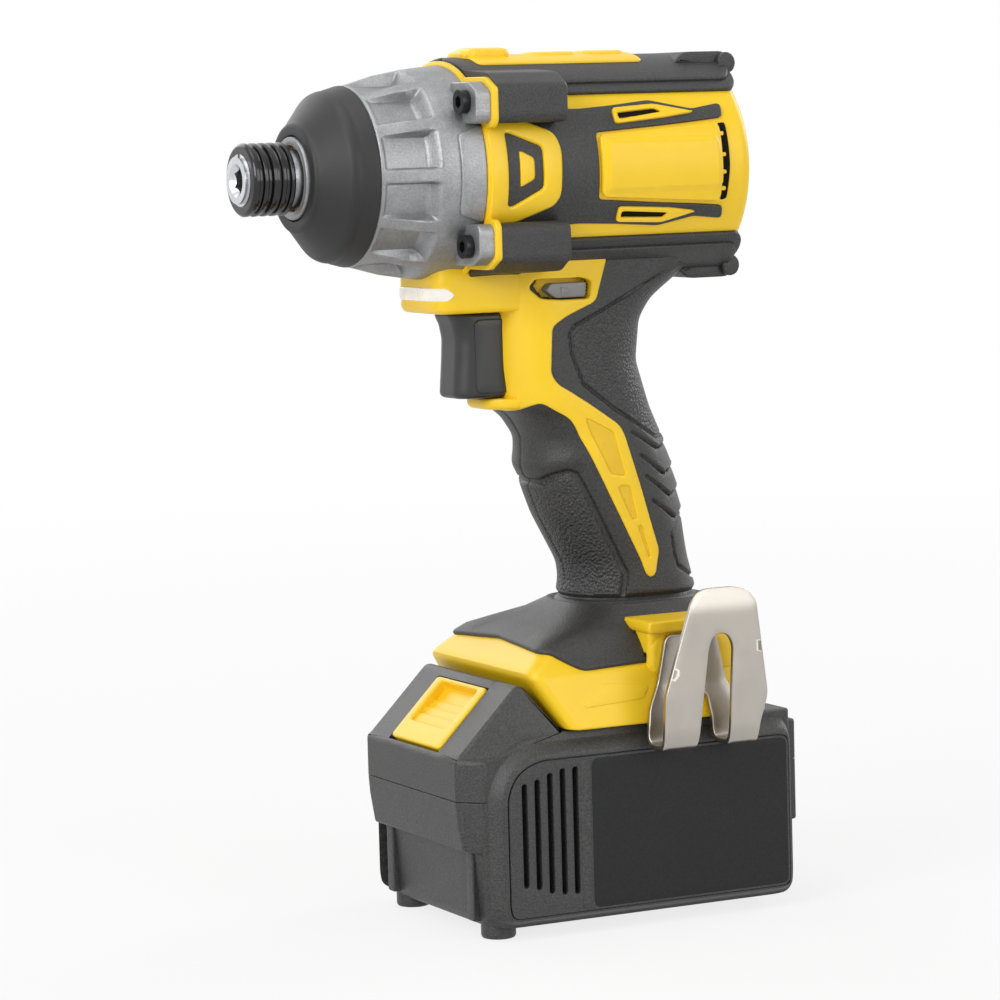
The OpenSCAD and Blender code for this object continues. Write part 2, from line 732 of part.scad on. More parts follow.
// Rubber overmould: the skin on the forms, inside the outlines of the side view
bumper_r = 3.2;
bumper_len = 13;
bumper_half_w = 14;
bumper_x = 46;
bumper_level = 28.4;
module rubber_outline() {
    difference() {
        polygon([for (s = both_sides(barrel_skin_shares)) at_barrel(s)]);
        polygon([for (s = both_sides(window_shares)) at_barrel(s)]);
        polygon([for (s = both_sides(frame_shares)) at_barrel(s)]);
        polygon([for (s = stripe_shares) at_handle(s)]);
    }
    difference() {
        polygon([for (s = both_sides(window_dark_shares)) at_barrel(s)]);
        polygon([for (s = both_sides(window_core_shares)) at_barrel(s)]);
    }
    difference() {
        polygon([for (s = both_sides(yoke_shares)) at_barrel(s)]);
        polygon([for (s = vent_rim_shares) at_barrel(s)]);
        polygon([for (s = vent_rim_shares) at_barrel(flipped(s))]);
    }
    difference() {
        polygon([for (s = handle_skin_shares) at_handle(s)]);
        polygon([for (s = stripe_shares) at_handle(s)]);
    }
    polygon([for (s = foot_top_shares) at_foot(s)]);
}
module bumper_form() {
    for (level = [-1, 1])
        hull() {
            for (x = [bumper_x - bumper_len, bumper_x])
                translate([x, 0, axis_z + level * bumper_level]) rotate([90, 0, 0])
                    cylinder(h = 2 * bumper_half_w, r = bumper_r, center = true, $fn = 24);
        }
}
module rubber_body() {
    difference() {
        union() {
            intersection() {
                all_forms(skin_t);
                side_prism(2 * pack_half_w) rubber_outline();
            }
            bumper_form();
        }
        all_forms(0);
        fore_form(0);
        guard_form();
        boss_form();
        disc(case_front_x, case_len, case_rear_r + fit_gap);
        handle_rooms();
        housing_screw_places() rotate([90, 0, 0]) translate([0, 0, -case_pin_y - pack_half_w])
            cylinder(h = pack_half_w, r = case_pin_head_r + run_gap, $fn = 24);
    }
}
module left_grip() { color("dimgray") intersection() { rubber_body(); half(-1); } }
module right_grip() { color("dimgray") intersection() { rubber_body(); half(1); } }
strip_x = 5.5;
knob_len = 16;
knob_half_w = 6;
knob_share = 0.25;
module top_strip() {
    r = barrel_r + skin_t;
    x = split_x + strip_x;
    knob_z = axis_z + r + strip_t;
    color("gold") {
        intersection() {
            ring(x, strip_len, r, r + strip_t);
            mid_box(x, x + strip_len, strip_half_w, axis_z, axis_z + 2 * r);
        }
        side_prism(knob_half_w)
            polygon([
                [x, knob_z - strip_t / 2], [x + knob_share * knob_len, knob_z + knob_h],
                [x + knob_len - knob_share * knob_len, knob_z + knob_h], [x + knob_len, knob_z - strip_t / 2]
            ]);
    }
}

// Hammer case, boot and screws
rib_share = 0.25;
pocket_end = 2.6;
pocket_len_share = 0.5;
boot_edge = 5.6;
nose_step = 1.6;
bush_r = 9.2;
module hammer_case() {
    mid_x = split_x - case_len * pocket_len_share;
    floor_r = case_front_r;
    color("silver") difference() {
        union() {
            turned([
                [0, nose_front_x], [nose_r, nose_front_x], [nose_r, nose_front_x + nose_step],
                [case_front_r - boot_t, case_front_x - boot_edge], [case_front_r - boot_t, case_front_x],
                [case_front_r, case_front_x], [case_mid_r, mid_x], [case_rear_r, split_x],
                [stator_r, split_x], [stator_r, spigot_x], [0, spigot_x]
            ]);
            translate([0, 0, axis_z]) case_screw_places()
                rotate([0, 90, 0]) translate([0, 0, split_x - ear_t]) cylinder(h = ear_t, r = ear_r);
            for (side = [-1, 1]) for (level = [-1, 1])
                translate([split_x - ear_t, 0, axis_z]) rotate([atan2(level * ear_z, side * ear_y), 0, 0])
                    translate([0, case_bore_r, -ear_r])
                        cube([ear_t, norm([ear_y, ear_z]) - case_bore_r, 2 * ear_r]);
        }
        turned([
            [0, wall_x], [case_bore_r, wall_x], [case_bore_r, seat_x], [spigot_bore_r, seat_x + pocket_end],
            [spigot_bore_r, spigot_x + over], [0, spigot_x + over]
        ]);
        disc(nose_front_x - over, nose_len + front_wall_t + 2 * over, bush_r);
        for (i = [0 : rib_count - 1])
            along_x(0) rotate([0, 0, (i + rib_share / 2) * 360 / rib_count])
                rotate_extrude(angle = (1 - rib_share) * 360 / rib_count)
                    polygon([
                        [floor_r, case_front_x], [floor_r, mid_x - pocket_end],
                        [case_mid_r + over, mid_x + sliver], [case_mid_r + pocket_end, case_front_x]
                    ]);
        translate([0, 0, axis_z]) case_screw_places()
            rotate([0, 90, 0]) translate([0, 0, split_x - ear_t - over])
                cylinder(h = ear_t + 2 * over, r = screw_r + fit_gap);
    }
}
boot_front = 0.8;
boot_face = 3.6;
module nose_boot() {
    color("#2b2b2b") turned([
        [nose_r, nose_front_x + boot_front], [nose_r + boot_face, nose_front_x + boot_front],
        [case_front_r - boot_front, case_front_x - boot_edge - boot_front], [case_front_r, case_front_x],
        [case_front_r - boot_t, case_front_x], [case_front_r - boot_t, case_front_x - boot_edge],
        [nose_r, nose_front_x + nose_step]
    ]);
}
module hex_key(af, depth) { cylinder(h = depth, r = af / sqrt(3), $fn = 6); }
key_af = 3;
module case_screws() {
    color("#1c1c1e") translate([0, 0, axis_z]) case_screw_places() rotate([0, 90, 0])
        difference() {
            union() {
                translate([0, 0, split_x - ear_t - screw_head_h])
                    cylinder(h = screw_head_h, r = screw_head_r);
                translate([0, 0, split_x - ear_t]) cylinder(h = screw_len - over, r = screw_r);
            }
            translate([0, 0, split_x - ear_t - screw_head_h - over]) hex_key(key_af, screw_head_h);
        }
}
module housing_screws() {
    color("#1c1c1e") housing_screw_places() rotate([90, 0, 0])
        difference() {
            union() {
                translate([0, 0, -case_pin_len / 2]) cylinder(h = case_pin_len, r = case_pin_r);
                translate([0, 0, -case_pin_y - case_pin_head_h])
                    cylinder(h = case_pin_head_h, r = case_pin_head_r);
            }
            translate([0, 0, -case_pin_y - case_pin_head_h - over]) hex_key(key_af, case_pin_head_h);
        }
}
module anvil_bush() {
    x = nose_front_x + boot_front;
    color("peru") ring(x, wall_x - x, journal_r + shaft_gap, bush_r);
}
thrust_r = 14;
module thrust_washer() { color("silver") ring(wall_x, thrust_t, journal_r + shaft_gap, thrust_r); }

// Anvil, its collar and what holds the bit
stop_len = 3.2;
stop_r = 8;
socket_depth = 25;
lead_in = 0.8;
wing_in_r = 11.5;
wing_out_r = 19.6;
wing_angle = 40;
lug_angle = 50;
pilot_r = 4;
pilot_len = 5;
stop_x = nose_front_x - fit_gap;
collar_x = stop_x - stop_len - run_gap - collar_len;
ring_groove = 0.7;
ring_w = 0.8;
ring_inset = 1.1;
ring_x = tip_x + ring_inset;
washer_t = 0.7;
washer_x = ring_x + ring_w;
collar_wire = 0.8;
collar_turns = 3;
collar_spring_len = collar_travel + (collar_turns + 1) * collar_wire;
land_len = collar_x + collar_len - washer_x - washer_t - collar_spring_len;
ball_x = collar_x + collar_len - land_len / 2;
spring_room_r = 8.5;
flange_r = 13;
// A ring sector about the drive axis, middle of the sector at turn
module sector(x, length, inner_r, outer_r, angle, turn) {
    along_x(x) rotate([0, 0, turn - angle / 2]) rotate_extrude(angle = angle)
        translate([inner_r, 0]) square([outer_r - inner_r, length]);
}
module anvil() {
    color("#9a9ca0") difference() {
        union() {
            disc(tip_x, stop_x - tip_x, anvil_r);
            disc(stop_x, flange_x - stop_x, journal_r);
            disc(flange_x, flange_t, flange_r);
            for (turn = [0, 180]) sector(flange_x, wing_len, wing_in_r, wing_out_r, wing_angle, turn);
        }
        along_x(tip_x - over) hex_key(hex_af, socket_depth + over);
        turned([
            [0, tip_x - sliver], [hex_af / sqrt(3) + lead_in, tip_x - sliver],
            [hex_af / 2, tip_x + hex_af / 4], [0, tip_x + hex_af / 4]
        ]);
        disc(flange_x + flange_t - pilot_len, pilot_len + over, pilot_r + shaft_gap);
        ring(ring_x, ring_w, anvil_r - ring_groove, anvil_r + over);
        for (side = [-1, 1]) translate([ball_x, 0, axis_z]) rotate([side * 90, 0, 0])
            cylinder(h = anvil_r + over, r = detent_r + shaft_gap);
    }
}
module stop_ring() { color("silver") ring(stop_x - stop_len, stop_len, anvil_r, stop_r); }
module detent_balls() {
    color("silver") for (side = [-1, 1])
        translate([ball_x, side * (anvil_r - detent_r), axis_z]) sphere(detent_r);
}
module snap_ring() {
    color("dimgray") difference() {
        ring(ring_x, ring_w, anvil_r - ring_groove, anvil_r + ring_groove);
        mid_box(ring_x - over, ring_x + ring_w + over, ring_groove, axis_z, axis_z + collar_r);
    }
}
module collar_washer() {
    color("silver") ring(washer_x, washer_t, anvil_r + shaft_gap, spring_room_r - shaft_gap);
}
module collar_spring() {
    along_x(washer_x + washer_t) color("dimgray")
        coil((anvil_r + spring_room_r) / 2, collar_wire, collar_spring_len, collar_turns);
}
collar_grooves = 4;
collar_groove = 0.8;
module bit_collar() {
    pitch = collar_len / (collar_grooves + 1);
    color("#303236") difference() {
        disc(collar_x, collar_len, collar_r);
        disc(collar_x - over, collar_len + 2 * over, anvil_r + shaft_gap);
        disc(collar_x - over, collar_len - land_len + over, spring_room_r);
        for (i = [1 : collar_grooves])
            ring(collar_x + i * pitch - collar_groove / 2, collar_groove,
                collar_r - collar_groove, collar_r + over);
    }
}

// Hammer, cam balls and spindle
lug_len = 4.6;
lug_in_r = 13.6;
hammer_web = 6.9;
hammer_hub_r = 11.6;
spring_out_r = 17;
cam_inset = 5;
cam_x = hammer_x + cam_inset;
spindle_front_x = flange_x + flange_t + run_gap;
carrier_r = ring_pitch_r - addendum - run_gap - run_gap;
pocket_r = planet_pitch_r + addendum + run_gap;
hub_bore_r = 5.3;
module hammer() {
    color("#6f7276") difference() {
        union() {
            disc(hammer_x, hammer_len, hammer_r);
            for (turn = [90, 270])
                sector(hammer_x - lug_len, lug_len + over, lug_in_r, hammer_r, lug_angle, turn);
        }
        disc(hammer_x - over, hammer_len + 2 * over, spindle_r + shaft_gap);
        ring(hammer_x + hammer_web, hammer_len, hammer_hub_r, spring_out_r);
        for (side = [-1, 1]) translate([0, side * spindle_r, 0])
            disc(cam_x - hammer_travel - cam_ball_r - run_gap,
                hammer_travel + 2 * cam_ball_r + 2 * run_gap, cam_ball_r + fit_gap);
    }
}
hammer_turns = 4;
module hammer_spring() {
    x = hammer_x + hammer_web;
    along_x(x) color("slategray") coil(hammer_spring_r, hammer_wire, seat_x - x, hammer_turns);
}
module spring_seat() { color("silver") ring(seat_x, seat_t, spindle_r, spring_out_r); }
module cam_balls() {
    color("silver") for (side = [-1, 1]) translate([cam_x, side * spindle_r, axis_z]) sphere(cam_ball_r);
}
module planet_places() {
    for (i = [0 : planet_count - 1])
        rotate([0, 0, 360 * i / planet_count]) translate([gear_centre, 0, 0]) children();
}
module spindle() {
    hub_rear_x = spindle_bearing_x + bearing_w;
    color("#8a8d91") difference() {
        turned([
            [0, spindle_front_x - pilot_len], [pilot_r, spindle_front_x - pilot_len],
            [pilot_r, spindle_front_x], [spindle_r, spindle_front_x], [spindle_r, carrier_front_x],
            [carrier_r, carrier_front_x], [carrier_r, spigot_x], [hub_r - shaft_gap, spigot_x],
            [hub_r - shaft_gap, hub_rear_x], [0, hub_rear_x]
        ]);
        along_x(planet_x - planet_gap) {
            planet_places() cylinder(h = planet_w + 2 * planet_gap, r = pocket_r);
            cylinder(h = hub_rear_x - planet_x + planet_gap + over, r = hub_bore_r);
        }
        along_x(carrier_front_x - over) planet_places()
            cylinder(h = spigot_x - carrier_front_x + 2 * over, r = planet_bore_r);
        for (side = [-1, 1]) translate([cam_x, side * spindle_r, axis_z]) sphere(cam_ball_r + shaft_gap);
    }
}
module planet_pins() {
    color("silver") along_x(carrier_front_x) planet_places()
        cylinder(h = spigot_x - carrier_front_x, r = planet_bore_r);
}
module planet_gear(i) {
    half_pitch = 180 / planet_teeth;
    color("#a9a39a") along_x(planet_x) rotate([0, 0, 360 * i / planet_count]) translate([gear_centre, 0, 0])
        difference() {
            linear_extrude(planet_w) rotate([0, 0, half_pitch])
                gear_outline(planet_teeth, planet_pitch_r - dedendum, planet_pitch_r + addendum, backlash);
            translate([0, 0, -over]) cylinder(h = planet_w + 2 * over, r = planet_bore_r + shaft_gap);
        }
}
module planet_gear_1() { planet_gear(0); }
module planet_gear_2() { planet_gear(1); }
module planet_gear_3() { planet_gear(2); }
module ring_gear() {
    half_pitch = 180 / ring_teeth;
    color("#7d8084") along_x(planet_x) linear_extrude(planet_w)
        difference() {
            circle(ring_outer_r);
            rotate([0, 0, half_pitch])
                gear_outline(ring_teeth, ring_pitch_r - addendum, ring_pitch_r + dedendum, -backlash);
        }
}
plate_wall = 2.4;
plate_flange = 5.5;
module gearbox_plate() {
    rim_x = planet_x + planet_w + planet_gap;
    color("#55585c") difference() {
        union() {
            disc(rim_x, spigot_x - rim_x, ring_outer_r);
            disc(spigot_x, plate_flange, stator_r);
            disc(spigot_x, plate_rear_x - spigot_x, motor_bearing_r + plate_wall);
        }
        disc(rim_x - over, spindle_bearing_x - rim_x + over, carrier_r + run_gap);
        disc(spindle_bearing_x - over, bearing_w + over, spindle_bearing_r);
        disc(spindle_bearing_x, plate_rear_x - spindle_bearing_x + over, hub_bore_r);
        disc(motor_bearing_x, bearing_w + over, motor_bearing_r);
    }
}
module spindle_bearing() { color("silver") bearing(spindle_bearing_x, hub_r, spindle_bearing_r); }
module front_bearing() { color("silver") bearing(motor_bearing_x, shaft_r, motor_bearing_r); }
module rear_bearing() { color("silver") bearing(rear_bearing_x, shaft_r, motor_bearing_r); }

// Motor
rotor_gap = 0.5;
module motor_shaft() {
    color("silver") {
        along_x(planet_x) linear_extrude(planet_w)
            gear_outline(sun_teeth, sun_pitch_r - dedendum, sun_pitch_r + addendum, backlash);
        disc(planet_x, shaft_rear_x - planet_x, shaft_r - shaft_gap);
    }
}
magnet_slots = 4;
magnet_t = 2.4;
magnet_w = 11;
module rotor_core() {
    r = stator_bore_r - rotor_gap;
    color("#5a5d62") along_x(stator_x) linear_extrude(stator_len)
        difference() {
            circle(r);
            circle(shaft_r);
            for (i = [0 : magnet_slots - 1]) rotate([0, 0, 360 * i / magnet_slots])
                translate([r - 2 * magnet_t, 0]) square([magnet_t, magnet_w], center = true);
        }
}
fan_blades = 11;
blade_wall = 1.2;
fan_hub_r = 6;
fan_eye_r = 11;
module fan() {
    color("#26282b") {
        ring(fan_x, fan_plate_t, shaft_r, fan_r);
        ring(fan_x, fan_len, shaft_r, fan_hub_r);
        along_x(fan_x) for (i = [0 : fan_blades - 1]) rotate([0, 0, 360 * i / fan_blades])
            translate([fan_eye_r, -blade_wall / 2, 0])
                cube([fan_r - fan_eye_r - blade_wall, blade_wall, fan_len]);
    }
}
stator_teeth = 6;
tooth_w = 5;
yoke_t = 4;
shoe_t = 1.6;
shoe_angle = 46;
module stator_tooth() {
    translate([stator_bore_r + shoe_t / 2, -tooth_w / 2])
        square([stator_r - yoke_t - stator_bore_r, tooth_w]);
}
module stator() {
    color("#8e9196") along_x(stator_x) linear_extrude(stator_len) {
        difference() {
            circle(stator_r);
            circle(stator_r - yoke_t);
        }
        for (i = [0 : stator_teeth - 1]) rotate([0, 0, 360 * i / stator_teeth]) {
            stator_tooth();
            rotate([0, 0, -shoe_angle / 2]) intersection() {
                difference() {
                    circle(stator_bore_r + shoe_t);
                    circle(stator_bore_r);
                }
                polygon([
                    [0, 0], [2 * stator_bore_r, 0],
                    [2 * stator_bore_r * cos(shoe_angle), 2 * stator_bore_r * sin(shoe_angle)]
                ]);
            }
        }
    }
}
coil_w = 2.2;
module windings() {
    inner_r = stator_bore_r + shoe_t + run_gap;
    depth = stator_r - yoke_t - run_gap - inner_r - over;
    color("#b8692e") along_x(stator_x - coil_reach) for (i = [0 : stator_teeth - 1])
        rotate([0, 0, 360 * i / stator_teeth]) difference() {
            translate([inner_r, -tooth_w / 2 - coil_w, 0])
                cube([depth, tooth_w + 2 * coil_w, stator_len + 2 * coil_reach]);
            translate([inner_r - over, -tooth_w / 2 - fit_gap, coil_reach - fit_gap])
                cube([depth + 2 * over, tooth_w + 2 * fit_gap, stator_len + 2 * fit_gap]);
        }
}

// Lamp, trigger, switch and selector
module lamp_lens() {
    color("#f2f4f0") intersection() {
        lens_band(0);
        fore_form(0);
    }
}
module lamp_board() {
    color("darkgreen") mid_box(fore_front_x + lens_t, fore_front_x + lens_t + lamp_board_t, fore_half_w / 2,
        fore_bottom_z + lens_rise, fore_bottom_z + lens_rise + lens_h);
}
module trigger() {
    color("#3a3b3d") {
        difference() {
            mid_box(trigger_front_x, trigger_rear_x, trigger_w / 2, trigger_bottom_z, trigger_top_z);
            translate([trigger_front_x + trigger_dish - trigger_dish_r, 0, stem_z]) rotate([90, 0, 0])
                cylinder(h = trigger_w + 2 * over, r = trigger_dish_r, center = true);
        }
        translate([trigger_rear_x - over, 0, stem_z]) rotate([0, 90, 0])
            cylinder(h = stem_len + over, r = stem_r);
    }
}
stem_room = stem_len - switch_gap + trigger_travel + 2 * over;
module trigger_switch() {
    color("#2e3033") difference() {
        mid_box(switch_x, switch_x + switch_len, switch_w / 2, switch_z, switch_z + switch_h);
        translate([switch_x - over, 0, stem_z]) rotate([0, 90, 0])
            cylinder(h = stem_room + over, r = stem_r + shaft_gap);
    }
}
trigger_turns = 5;
module trigger_spring() {
    translate([trigger_rear_x, 0, stem_z]) rotate([0, 90, 0]) color("silver")
        coil(trigger_spring_r, trigger_wire, switch_gap, trigger_turns);
}
module direction_selector() {
    reach = handle_half_w + selector_proud;
    color("#35373a")
        mid_box(selector_x, selector_x + selector_len, reach, selector_z, selector_z + selector_h);
}

// Electric parts in the foot
module control_board() {
    color("#30523c") mid_box(board_x, board_x + board_len, board_half_w, board_z, board_z + board_h);
}
module switch_leads() {
    color("#7b1f1f") intersection() {
        lead_path(lead_r);
        mid_box(board_x, board_x + board_len, board_half_w, board_z + board_h, switch_z);
    }
}
module blade_places() { for (s = blade_shares) translate([0, s * block_half_w, 0]) children(); }
module terminal_block() {
    z = foot_z + rail_h;
    color("#26282b") mid_box(block_x, block_x + block_len, block_half_w, z, z + block_h);
}
module terminal_blades() {
    z = foot_z + rail_h;
    color("goldenrod") blade_places()
        mid_box(block_x + over, block_x + over + blade_w, blade_t / 2, z - blade_h, z);
}
module hook_inserts() {
    color("goldenrod") for (side = [-1, 1]) translate([insert_x, side * (boss_y - insert_len / 2), insert_z])
        rotate([90, 0, 0]) difference() {
            cylinder(h = insert_len, r = insert_r, center = true);
            cylinder(h = insert_len + 2 * over, r = insert_bore_r, center = true);
        }
}
// Belt hook: a bent sheet, seen along X as an open hairpin, cut to its outline in the side view
hook_seat = [
    for (z = [boss_z + boss_h - run_gap, boss_z + hook_seat_share * boss_h]) [-hook_inner_y - hook_t / 2, z]
];
module belt_hook() {
    color("#c9c3b8") difference() {
        intersection() {
            translate([hook_x, 0, 0]) rotate([90, 0, 90]) linear_extrude(hook_w)
                polygon(stroke(concat(hook_seat, [for (s = hook_bend_shares) at_bend(s)]), hook_t));
            union() {
                side_prism(2 * pack_half_w) polygon([for (s = hook_shares) at_hook(s)]);
                translate([boss_x, -hook_inner_y - 2 * hook_t, boss_z]) cube([boss_len, 3 * hook_t, boss_h]);
            }
        }
        translate([insert_x, -hook_inner_y, insert_z]) rotate([90, 0, 0])
            cylinder(h = 2 * hook_t + over, r = insert_bore_r + fit_gap, center = true);
    }
}
hook_head_h = 2;
hook_head_r = 3.4;
module hook_screw() {
    y = -hook_inner_y - hook_t;
    color("#1c1c1e") translate([insert_x, y, insert_z]) rotate([90, 0, 0])
        difference() {
            union() {
                cylinder(h = hook_head_h, r = hook_head_r);
                translate([0, 0, -insert_len]) cylinder(h = insert_len, r = insert_bore_r - shaft_gap);
            }
            translate([0, 0, hook_head_h / 2]) hex_key(key_af, hook_head_h);
        }
}

// Battery
latch_half_w = 6;
catch_h = 1.2;
latch_top_z = foot_z + rail_h + catch_h;
latch_t = 6;
latch_len = 8;
tongue_rear_x = rail_rear_x - slide_gap;
module pack_plan(inset) {
    offset(delta = -inset)
        polygon([
            [pack_front_x, -front_half_w], [pack_front_x + chamfer_x, -pack_half_w],
            [pack_rear_x, -pack_half_w], [pack_rear_x, pack_half_w],
            [pack_front_x + chamfer_x, pack_half_w], [pack_front_x, front_half_w]
        ]);
}
module rear_block(z0, z1) { mid_box(pack_rear_x - over, pack_rear_x + rear_rib_x, rear_rib_half_w, z0, z1); }
rear_block_z = 21;
rear_block_top_z = 50;
pack_screw_y = 14;
module pack_screw_places() {
    for (side = [-1, 1]) translate([pack_rear_x + rear_rib_x / 2, side * pack_screw_y, 0]) children();
}
pack_screw_r = 1.5;
pocket_floor_z = 45.2;
pocket_floor_t = 1.2;
// X where the foot's front slope leaves room for the battery at height z
function under_foot_x(z) =
    let (slope_share = (z - foot_z) / (foot_h * foot_shares[1][0]))
    at_foot([foot_shares[0][1] * (1 - slope_share), 0])[0] - 2 * slide_gap;
module front_block() {
    hull() {
        translate([0, 0, slope_z - slope_h / 4]) linear_extrude(sliver) intersection() {
            pack_plan(0);
            translate([pack_front_x, -pack_half_w])
                square([under_foot_x(pack_top_z) - pack_front_x, 2 * pack_half_w]);
        }
        mid_box(pack_front_x, under_foot_x(pack_top_z), front_half_w, slope_z - over, slope_z);
        mid_box(pack_front_x + slope_h, under_foot_x(slope_top_z), front_half_w, slope_z, slope_top_z);
        mid_box(pack_front_x + slope_h, under_foot_x(pack_top_z), front_half_w, slope_z, pack_top_z);
    }
}
// Raised side panel with a ribbed front, from z0 to z1
module side_panels(z0, z1) {
    for (side = [-1, 1]) translate([0, side * (pack_half_w + panel_proud / 2 - over / 2), z0]) {
        for (i = [0 : groove_count - 1]) translate([panel_x + i * groove_pitch, -(panel_proud + over) / 2, 0])
            cube([groove_pitch - groove_w, panel_proud + over, z1 - z0]);
        translate([panel_x + groove_count * groove_pitch, -(panel_proud + over) / 2, 0])
            cube([panel_len - groove_count * groove_pitch, panel_proud + over, z1 - z0]);
    }
}
module battery_upper_case() {
    latch_x = foot_front_x - pack_wall - slide_gap;
    color("#3b3d40") difference() {
        union() {
            translate([0, 0, seam_z]) linear_extrude(pack_top_z - seam_z) pack_plan(0);
            front_block();
            mid_box(foot_front_x - over, tongue_rear_x, tongue_half_w - tongue_neck,
                pack_top_z - over, slope_top_z);
            mid_box(foot_front_x - over, tongue_rear_x, tongue_half_w,
                foot_z + lip_h + slide_gap, slope_top_z);
            rear_block(seam_z, rear_block_top_z);
            side_panels(seam_z, panel_top_z);
        }
        translate([0, 0, seam_z - over]) linear_extrude(pocket_floor_z - pocket_floor_t - seam_z + over)
            pack_plan(pack_wall);
        mid_box(foot_front_x + over, pack_rear_x - pack_wall, front_half_w, seam_z, pack_top_z - pack_wall);
        mid_box(pack_front_x + pack_wall / 2, foot_front_x - pack_wall, button_half_w + slide_gap,
            pocket_floor_z, slope_top_z + over);
        mid_box(latch_x, latch_x + latch_len + run_gap + over, latch_half_w + run_gap,
            latch_top_z - latch_t - button_travel - run_gap, slope_top_z + over);
        for (s = blade_shares)
            translate([0, s * block_half_w, 0])
                mid_box(block_x - over, tongue_rear_x + over, clip_room / 2,
                    pack_top_z - 2 * pack_wall, slope_top_z + over);
        pack_screw_places() translate([0, 0, seam_z - over])
            cylinder(h = pack_screw_len, r = pack_screw_r + fit_gap);
    }
}
clip_room = 4.4;
pack_screw_len = 9;
pack_screw_head_r = 2.8;
// Front of the lower case in the side view: a chin that tapers in to a block
module chin_cut(shift) {
    x = pack_front_x + shift;
    side_prism(2 * pack_half_w) polygon([
        [pack_front_x - over, seam_z - over], [x, seam_z - over], [x + chin, chin_z],
        [x + block_front, chin_z - over], [x + block_front, foot_pad_h + chin],
        [x + block_front + over, foot_pad_h - over], [pack_front_x - over, foot_pad_h - over]
    ]);
}
module battery_lower_case() {
    color("#37393c") {
        difference() {
            union() {
                translate([0, 0, foot_pad_h]) linear_extrude(seam_z - foot_pad_h) pack_plan(0);
                rear_block(rear_block_z, seam_z);
                side_panels(panel_bottom_z, seam_z);
            }
            difference() {
                translate([0, 0, foot_pad_h + pack_wall]) linear_extrude(seam_z) pack_plan(pack_wall);
                chin_cut(pack_wall);
            }
            chin_cut(0);
            pack_screw_places() {
                translate([0, 0, rear_block_z - over]) cylinder(h = seam_z, r = pack_screw_r + fit_gap);
                translate([0, 0, rear_block_z - over])
                    cylinder(h = pack_screw_len, r = pack_screw_head_r + fit_gap);
            }
        }
        for (x = [-pad_x, pad_x]) for (y = [-pad_y, pad_y])
            translate([x, y, 0]) cylinder(h = foot_pad_h + over, r = pad_r);
    }
}
module battery_screws() {
    head_z = rear_block_z - over + pack_screw_len - screw_head_h;
    color("#1c1c1e") pack_screw_places() translate([0, 0, head_z]) difference() {
        union() {
            cylinder(h = screw_head_h, r = pack_screw_head_r);
            cylinder(h = seam_z - rear_block_z + screw_head_h - over, r = pack_screw_r);
        }
        translate([0, 0, -over]) hex_key(key_af, screw_head_h);
    }
}
module latch_spring_places() {
    for (side = [-1, 1])
        translate([foot_front_x - pack_wall - slide_gap - latch_spring_r - over, side * button_half_w / 2, 0])
            children();
}
// Wedge on the battery's slope, with spring pads under it and the latch tongue at its top
module release_button() {
    front = pack_front_x + pack_wall / 2 + slide_gap;
    back = foot_front_x - pack_wall - slide_gap;
    pad_z = pocket_floor_z + latch_spring_len;
    pad_half = latch_spring_r + latch_wire;
    color("gold") {
        side_prism(button_half_w) polygon([
            [front, slope_z + front - pack_front_x], [back, slope_z + back - pack_front_x],
            [back, slope_top_z - button_t], [front, slope_z]
        ]);
        latch_spring_places() side_prism(pad_half) polygon([
            [-pad_half, pad_z], [pad_half, pad_z], [pad_half, pad_z + button_t], [-pad_half, pad_z + over]
        ]);
        mid_box(back - sliver, back + latch_len, latch_half_w, latch_top_z - latch_t, latch_top_z);
    }
}
module latch_springs() {
    color("silver") latch_spring_places() translate([0, 0, pocket_floor_z])
        coil(latch_spring_r, latch_wire, latch_spring_len, trigger_turns);
}
module cell_places() {
    for (i = [0 : cell_columns - 1]) for (k = [0 : cell_rows - 1])
        translate([
            (i - (cell_columns - 1) / 2) * cell_pitch + cell_mid_x, 0,
            cell_bottom_z + cell_r + k * cell_pitch
        ]) rotate([90, 0, 0]) children();
}
module battery_cells() { color("#4a7a8c") cell_places() cylinder(h = cell_len, r = cell_r, center = true); }
holder_y = 26;
holder_inset = 2;
holder_end = 5;
module cell_holder() {
    half_x = cell_columns * cell_pitch / 2 - holder_end;
    z = cell_bottom_z + holder_inset;
    color("#1f2123") for (side = [-1, 1]) difference() {
        translate([cell_mid_x - half_x, side * holder_y - holder_t / 2, z])
            cube([2 * half_x, holder_t, cell_rows * cell_pitch - 2 * holder_inset]);
        cell_places() cylinder(h = cell_len, r = cell_r + fit_gap, center = true);
    }
}
board_t = 1.6;
pack_board_z = cell_bottom_z + cell_rows * cell_pitch + run_gap;
module battery_board() {
    color("darkgreen") mid_box(foot_front_x + 2 * over, pack_rear_x - 2 * pack_wall, front_half_w - over,
        pack_board_z, pack_board_z + board_t);
}
leaf_t = 0.6;
module battery_terminals() {
    z = pack_board_z + board_t;
    color("goldenrod") blade_places() for (side = [-1, 1])
        translate([block_x + over, side * (blade_t / 2 + shaft_gap + leaf_t / 2) - leaf_t / 2, z])
            cube([blade_w, leaf_t, slope_top_z - over - z]);
}

